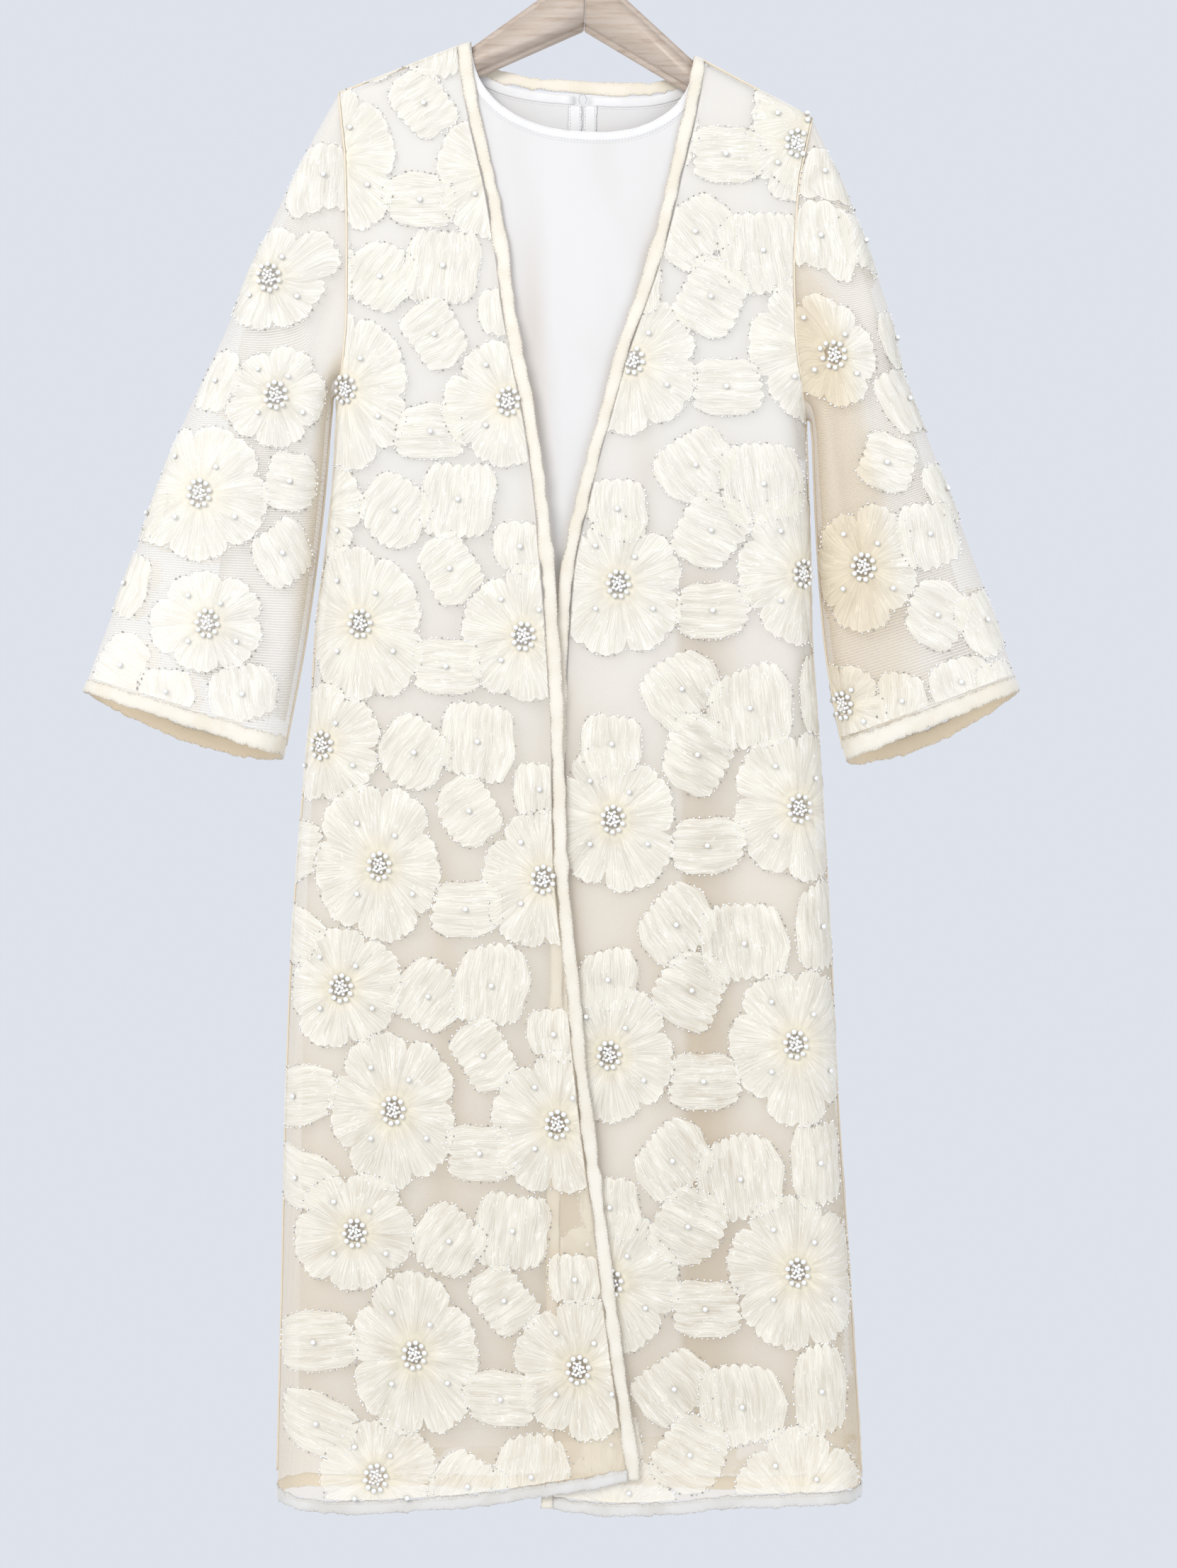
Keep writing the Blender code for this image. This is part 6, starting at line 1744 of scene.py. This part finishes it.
def sew_flower(panel, motif, x, z, base, lift, pick, sewing):
    """A ring of pearls round a cluster of crystals, and single pearls on the lobes."""
    mx, mz, width, height = motif
    angle = np.linspace(0, 2 * math.pi, RING_PEARLS + 1)[:-1] + pick.random()
    rx, rz = mx + PEARL_RING[0] * np.cos(angle), mz + PEARL_RING[1] * np.sin(angle)
    spots = np.array(PEARL_PLACES) / PEARL_FLOWER * (width, height)
    sx, sz = mx + spots[:, 0], mz + spots[:, 1]
    spiral = [(CLUSTER_RADIUS * math.sqrt((k + 0.5) / CRYSTALS), 2.4 * k) for k in range(CRYSTALS)]
    cluster = np.array(spiral)
    cx = mx + cluster[:, 0] * np.cos(cluster[:, 1])
    cz = mz + 1.25 * cluster[:, 0] * np.sin(cluster[:, 1])
    ring, single, middle = (panel.holds(*points) for points in ((rx, rz), (sx, sz), (cx, cz)))
    if ring.any():
        sewing["pearl"].add(panel, rx[ring], rz[ring], base + RING_OUT, 0, 1.0)
    if single.any():
        apart = np.hypot(x.ravel()[:, None] - sx[single], z.ravel()[:, None] - sz[single])
        under = lift.ravel()[apart.argmin(axis=0)]
        sewing["pearl"].add(panel, sx[single], sz[single], base + under + SINGLE_OUT, 0, 0.95)
    if middle.any():
        tilt = [pick.uniform(0, 3) for _ in range(middle.sum())]
        sewing["crystal"].add(panel, cx[middle], cz[middle], base + CRYSTAL_OUT, tilt, 1.0)


# %% A panel's motifs, as one mesh of tulle and lists of what is sewn on it
# A face stays if this share of its area is left after the cut, and a motif if enough faces stay
KEPT_SHARE = 0.22
FEWEST_FACES = 12


def quad_areas(points, corners):
    """Twice the area of each face of a flat grid."""
    shape = points.reshape(-1, 2)[corners]
    return np.abs(np.cross(shape[:, 2] - shape[:, 0], shape[:, 3] - shape[:, 1]))


def build_motifs(name, panel, motifs, seed, sewing):
    """The tulle of a panel's motifs as one mesh, with its pearls and beads noted for sewing."""
    pick = random.Random(seed)
    parts = []
    start = 0
    for number, (kind, mx, mz, width, height, turn) in enumerate(motifs):
        flat = (flat_flower if kind == "flower" else flat_petal)(width, height, pick)
        px, pz, lift, across, along, core, edge, dense = flat
        closed = kind == "flower"
        c, s = math.cos(turn), math.sin(turn)
        x, z = mx + px * c - pz * s, mz + px * s + pz * c
        moved = panel.cut(x, z)
        rows, columns = x.shape
        stride = columns - 1 if closed else columns
        base = NET_IN + (0.25 + 0.12 * (number % 4)) * MM
        points = panel.lift(*moved, base + lift)[:, :stride].reshape(-1, 3)
        quads = grid_faces(rows, stride, closed=closed, turned=closed)
        corners = grid_faces(rows, columns, turned=closed)
        size = quad_areas(np.stack(moved, -1), corners) * panel.unit_area
        good = size > KEPT_SHARE * quad_areas(np.stack((x, z), -1), corners)
        if good.sum() < FEWEST_FACES:
            continue
        uv = flat_map(across, along)[corners]
        # Each point also carries how it is lit, for the tulle's painted shade and painted light
        values = (layer[:, :stride].ravel() for layer in (core, edge, dense, panel.warm(*moved)))
        parts.append((points, quads[good] + start, uv[good].reshape(-1, 2), *values))
        start += len(points)
        sew_outline(panel, motif_rim(kind, x, z, np.array((mx, mz))), base, pick, sewing)
        if kind == "flower":
            sew_flower(panel, (mx, mz, width, height), x, z, base, lift, pick, sewing)
        elif panel.holds(mx, mz).all():
            half = lift.shape[1] // 2
            top = lift[lift.shape[0] // 2, half - 1:half + 2].max()
            sewing["pearl"].add(panel, mx, mz, base + top + PETAL_PEARL_OUT, 0, 0.98)
    points, faces, uv, core, edge, dense, warm = (np.concatenate(part) for part in zip(*parts))
    item = make_mesh(name, points, faces, "tulle", uv, core=core, rim=edge, dense=dense, warm=warm)
    with edited(item.data) as work:
        loose = [vertex for vertex in work.verts if not vertex.link_faces]
        bmesh.ops.delete(work, geom=loose, context="VERTS")
    return keep(item, "net")


sewing = {kind: Sewing() for kind in ("pearl", "bead", "crystal")}
left_motifs = in_metres(group_motifs(LEFT_GROUP, LEFT_RINGS))
right_motifs = in_metres([*group_motifs(RIGHT_GROUP, RIGHT_RINGS), LOOSE_FLOWER])
back_motifs = []
for mirror, ring_x, ring_z in BACK_COLUMNS:
    rings = [(ring_x, ring_z - BACK_PITCH * row) for row in BACK_ROWS]
    back_motifs += in_metres(group_motifs(RIGHT_GROUP, rings, mirror))
tulles = [
    build_motifs("tulle_front_left", BodyPanel("left"), left_motifs, 101, sewing),
    build_motifs("tulle_front_right", BodyPanel("right"), right_motifs, 102, sewing),
    build_motifs("tulle_back", BodyPanel("back"), back_motifs, 103, sewing),
]
for which, seed in (("left", 112), ("right", 110)):
    for back in (False, True):
        label = f"tulle_sleeve_{which}_{'back' if back else 'front'}"
        motifs = in_metres(SLEEVE_MOTIFS[which])
        tulles.append(build_motifs(label, SleevePanel(which, back), motifs, seed + back, sewing))
print("tulle:", face_counts(tulles))

# %% [markdown]
# ## Pearls, crystals and silver beads
#
# They number thousands, so Geometry Nodes sets them: a small ball on each point, turned to the
# surface's normal and stretched along the run of its row. The tree ends in real meshes.


# %% The tree that sets a bead on every point
BEAD_SOCKETS = {
    "Geometry": "NodeSocketGeometry", "Detail": "NodeSocketInt", "Radius": "NodeSocketFloat",
    "Stretch": "NodeSocketVector", "Material": "NodeSocketMaterial",
}
BEAD_VALUES = {"normal": "FLOAT_VECTOR", "run": "FLOAT_VECTOR", "size": "FLOAT"}
BEAD_NODES = {
    "inputs": "NodeGroupInput", "ball": "GeometryNodeMeshIcoSphere", "shaped": "GeometryNodeTransform",
    "stand": "FunctionNodeAlignRotationToVector", "turn": "FunctionNodeAlignRotationToVector",
    "where": "GeometryNodeInputPosition", "split": "ShaderNodeSeparateXYZ", "share": "ShaderNodeMath",
    "store": "GeometryNodeStoreNamedAttribute", "place": "GeometryNodeInstanceOnPoints",
    "real": "GeometryNodeRealizeInstances", "smooth": "GeometryNodeSetShadeSmooth",
    "dress": "GeometryNodeSetMaterial", "output": "NodeGroupOutput",
}
# Each link: a node and its output, then a node and its input
BEAD_LINKS = (
    ("inputs", "Detail", "ball", "Subdivisions"), ("inputs", "Radius", "ball", "Radius"),
    ("ball", "Mesh", "shaped", "Geometry"), ("inputs", "Stretch", "shaped", "Scale"),
    ("normal", "Attribute", "stand", "Vector"), ("stand", "Rotation", "turn", "Rotation"),
    ("run", "Attribute", "turn", "Vector"), ("where", "Position", "split", "Vector"),
    ("split", "Z", "share", 0), ("inputs", "Radius", "share", 1), ("share", "Value", "store", "Value"),
    ("shaped", "Geometry", "store", "Geometry"), ("inputs", "Geometry", "place", "Points"),
    ("store", "Geometry", "place", "Instance"), ("turn", "Rotation", "place", "Rotation"),
    ("size", "Attribute", "place", "Scale"), ("place", "Instances", "real", "Geometry"),
    ("real", "Geometry", "smooth", "Geometry"), ("smooth", "Geometry", "dress", "Geometry"),
    ("inputs", "Material", "dress", "Material"), ("dress", "Geometry", "output", "Geometry"),
)


def bead_tree():
    """A ball on each point, stood on its normal and turned along its run, and real at the end."""
    tree = bpy.data.node_groups.new("sewn_beads", "GeometryNodeTree")
    for label, kind in BEAD_SOCKETS.items():
        tree.interface.new_socket(label, in_out="INPUT", socket_type=kind)
    tree.interface.new_socket("Geometry", in_out="OUTPUT", socket_type="NodeSocketGeometry")
    nodes = {name: tree.nodes.new(kind) for name, kind in BEAD_NODES.items()}
    for name, kind in BEAD_VALUES.items():
        nodes[name] = tree.nodes.new("GeometryNodeInputNamedAttribute")
        nodes[name].data_type = kind
        nodes[name].inputs["Name"].default_value = name
    nodes["stand"].axis = "Z"
    nodes["turn"].axis = "X"
    nodes["turn"].pivot_axis = "Z"
    nodes["share"].operation = "DIVIDE"
    # Each ball keeps its height over its middle, which the pearl's finish reads for its painted contact
    # shadow
    nodes["store"].data_type = "FLOAT"
    nodes["store"].inputs["Name"].default_value = "rise"
    for start, output, end, into in BEAD_LINKS:
        tree.links.new(nodes[start].outputs[output], nodes[end].inputs[into])
    return tree


BEADS = bead_tree()


def sew(name, table, detail, radius, stretch, finish, slot="net"):
    """Beads on the rows of a table, as one plain mesh."""
    mesh = bpy.data.meshes.new(name + "_points")
    mesh.from_pydata(table[:, :3].tolist(), [], [])
    for key, first in (("normal", 3), ("run", 6)):
        stored = mesh.attributes.new(key, "FLOAT_VECTOR", "POINT")
        stored.data.foreach_set("vector", table[:, first:first + 3].ravel())
    mesh.attributes.new("size", "FLOAT", "POINT").data.foreach_set("value", table[:, 9])
    holder = link_object(name + "_points", mesh)
    modifier = holder.modifiers.new("beads", "NODES")
    modifier.node_group = BEADS
    values = {"Detail": detail, "Radius": radius, "Stretch": stretch, "Material": FINISHES[finish]}
    for socket in BEADS.interface.items_tree:
        if socket.in_out == "INPUT" and socket.name in values:
            modifier[socket.identifier] = values[socket.name]
    seen = holder.evaluated_get(bpy.context.evaluated_depsgraph_get())
    made = bpy.data.meshes.new_from_object(seen)
    for extra in [stored.name for stored in made.attributes if stored.name in BEAD_VALUES]:
        made.attributes.remove(made.attributes[extra])
    bpy.data.objects.remove(holder)
    made.name = name
    if not made.materials:
        made.materials.append(FINISHES[finish])
    return keep(link_object(name, made), slot)


# %% Sew them on
def halves(table):
    """The rows in front and the rows behind."""
    return (("front", table[table[:, 1] < 0]), ("back", table[table[:, 1] >= 0]))


sewn = []
for kind, detail, radius, stretch in (
    ("pearl", 2, 2.35 * MM, (1, 1, 1)), ("crystal", 1, 1.7 * MM, (1, 1, 0.8)),
    ("bead", 1, 0.8 * MM, (1.35, 1, 1)),
):
    for where, rows in halves(sewing[kind].table()):
        sewn.append(sew(f"{kind}s_{where}", rows, detail, radius, stretch, kind))
print("sewn on:", face_counts(sewn))

# %% [markdown]
# ## Stitches
#
# A row of topstitching is a line of short flat beads of thread. The same tree sets them along flat
# paths: on both edges of the neck binding, above the slip's hem, down the facings of the slit, and
# along the inner side of the coat's turned hems.


# %% Rows of stitches along flat paths
STITCH_PITCH = 2.7 * MM
SLIP_HEM_DEPTH = 15 * MM
SLIP_HEM_LEVEL = -1.28
# How far below the neckline each row at the binding runs, and how far out
BINDING_STITCHES = (
    (1.3 * MM, 0.1 * MM), (BINDING_WIDTH - 1.2 * MM, 0.1 * MM), (BINDING_WIDTH + 1.6 * MM, NET_IN),
)


def stitch_row(place, path, out):
    """Rows for the sewing tree, at even steps along a flat path on a surface."""
    points = place(path[:, 0], path[:, 1], out)
    run = distances(points)
    steps = np.arange(0.5 * STITCH_PITCH, run[-1], STITCH_PITCH)

    def read(at, rise):
        """Points that far along the path and that much further out."""
        return place(*(np.interp(at, run, path[:, k]) for k in (0, 1)), out + rise)

    here = read(steps, 0)
    normal = unit(read(steps, MM) - here, 1e-9)
    ahead = unit(read(steps + 0.4 * MM, 0) - here, 1e-9)
    return np.concatenate((here, normal, ahead, np.ones((len(steps), 1))), 1)


def slip_rows():
    """Topstitching of the slip: both edges of the binding, the hem, and the facings of the slit."""
    rows = []
    for which, neck in (("front", SLIP_FRONT_NECK), ("back", SLIP_BACK_NECK)):
        place = SLIP_SKINS[which]
        for widen, out in BINDING_STITCHES:
            line = neck_line("slip", neck, widen, 121)
            if which == "back":
                line = line[np.abs(line[:, 0] - NECK_X) > 2 * MM]
                rows.append(stitch_row(place, line[line[:, 0] < NECK_X], out))
                line = line[line[:, 0] > NECK_X]
            rows.append(stitch_row(place, line, out))
        x = np.linspace(*(seam_x("slip", hand, SLIP_HEM_LEVEL) for hand in HANDS), 160)
        path = np.stack((x, hem_z(SLIP_HEM, x) + SLIP_HEM_DEPTH), -1)
        rows.append(stitch_row(place, path, NET_IN + 0.15 * MM))
    top = float(neck_top("slip", SLIP_BACK_NECK, NECK_X, BINDING_WIDTH))
    z = np.linspace(top - SLIT_LENGTH - FACING + 2 * MM, top, 40)
    for sign in (-1, 1):
        for width in (2.2 * MM, FACING - 1.5 * MM):
            path = np.stack((NECK_X + sign * width + 0 * z, z), -1)
            rows.append(stitch_row(SLIP_SKINS["back"], path, -1.8 * MM))
    return np.concatenate(rows)


def hem_rows():
    """The stitches that hold the coat's turned hems."""
    rows = []
    for which, hem in COAT_HEMS.items():
        x = np.linspace(*hem_ends(which), 120)
        rows.append(stitch_row(SKINS[which], np.stack((x, hem_z(hem, x) + 0.8 * BAND_WIDTH), -1), 0.75 * MM))
    return np.concatenate(rows)


stitches = [
    sew("stitches_slip", slip_rows(), 1, 0.28 * MM, (3.2, 1, 0.7), "stitch", "slip_cloth"),
    sew("stitches_hem", hem_rows(), 1, 0.28 * MM, (3.2, 1, 0.7), "hem_thread", "edge_band"),
]
print("stitches:", face_counts(stitches))

# %% The floor, the light and the camera
FLOOR_Z = -1.75
FLOOR_SIDES = 96


def disc(name, radius, z, colour):
    """A plain round floor."""
    turn = np.linspace(0, 2 * math.pi, FLOOR_SIDES, endpoint=False)
    points = np.stack((radius * np.cos(turn), radius * np.sin(turn), 0 * turn + z), -1)
    mesh = bpy.data.meshes.new(name)
    mesh.from_pydata(points.tolist(), [], [list(range(FLOOR_SIDES))])
    material, shader, tree = new_material("studio_floor", colour, 0.9)
    dim = tuple(0.97 * part for part in colour)
    paint(tree, shader, mix_colours(tree, spread(tree, cloud(tree, 3), 0.3, 0.7, 0, 1), colour, dim))
    mesh.materials.append(material)
    item = link_object(name, mesh)
    return item


def area_light(name, place, target, size, power, colour=(1, 1, 1)):
    """A soft rectangular light that faces a target."""
    data = bpy.data.lights.new(name, "AREA")
    data.shape = "RECTANGLE"
    data.size, data.size_y = size
    data.energy = power
    data.color = colour
    item = link_object(name, data)
    item.location = place
    item.rotation_euler = (Vector(target) - Vector(place)).to_track_quat("-Z", "Y").to_euler()
    return item


floor = disc("floor", 1.3, FLOOR_Z, (0.78, 0.80, 0.84))
MIDDLE = (0, 0, -0.75)
area_light("key", (-1.5, -2.6, 0.7), MIDDLE, (1.6, 1.6), 55, (1.0, 0.985, 0.96))
area_light("fill", (2.0, -2.2, -0.4), MIDDLE, (1.8, 1.8), 16, (0.95, 0.97, 1.0))
area_light("back", (0.6, 2.2, 0.9), MIDDLE, (1.5, 1.5), 22)
world = bpy.data.worlds.new("studio")
world.use_nodes = True
world.node_tree.nodes["Background"].inputs["Color"].default_value = (0.735, 0.765, 0.835, 1)
world.node_tree.nodes["Background"].inputs["Strength"].default_value = 1.0
bpy.context.scene.world = world
bpy.context.scene.view_settings.view_transform = "Standard"

CAMERA_X, CAMERA_Z = 0.0, -749.5 * MM
FRAME_HEIGHT = 1.3115
CAMERA_DISTANCE = 2.6
FRONT_PLANE = -30 * MM
SENSOR_HEIGHT = 36
camera_data = bpy.data.cameras.new("camera")
camera_data.sensor_fit = "VERTICAL"
camera_data.sensor_height = SENSOR_HEIGHT
camera_data.lens = SENSOR_HEIGHT * CAMERA_DISTANCE / FRAME_HEIGHT
camera = link_object("camera", camera_data)
camera.location = (CAMERA_X, FRONT_PLANE - CAMERA_DISTANCE, CAMERA_Z)
camera.rotation_euler = (QUARTER, 0, 0)
bpy.context.scene.camera = camera
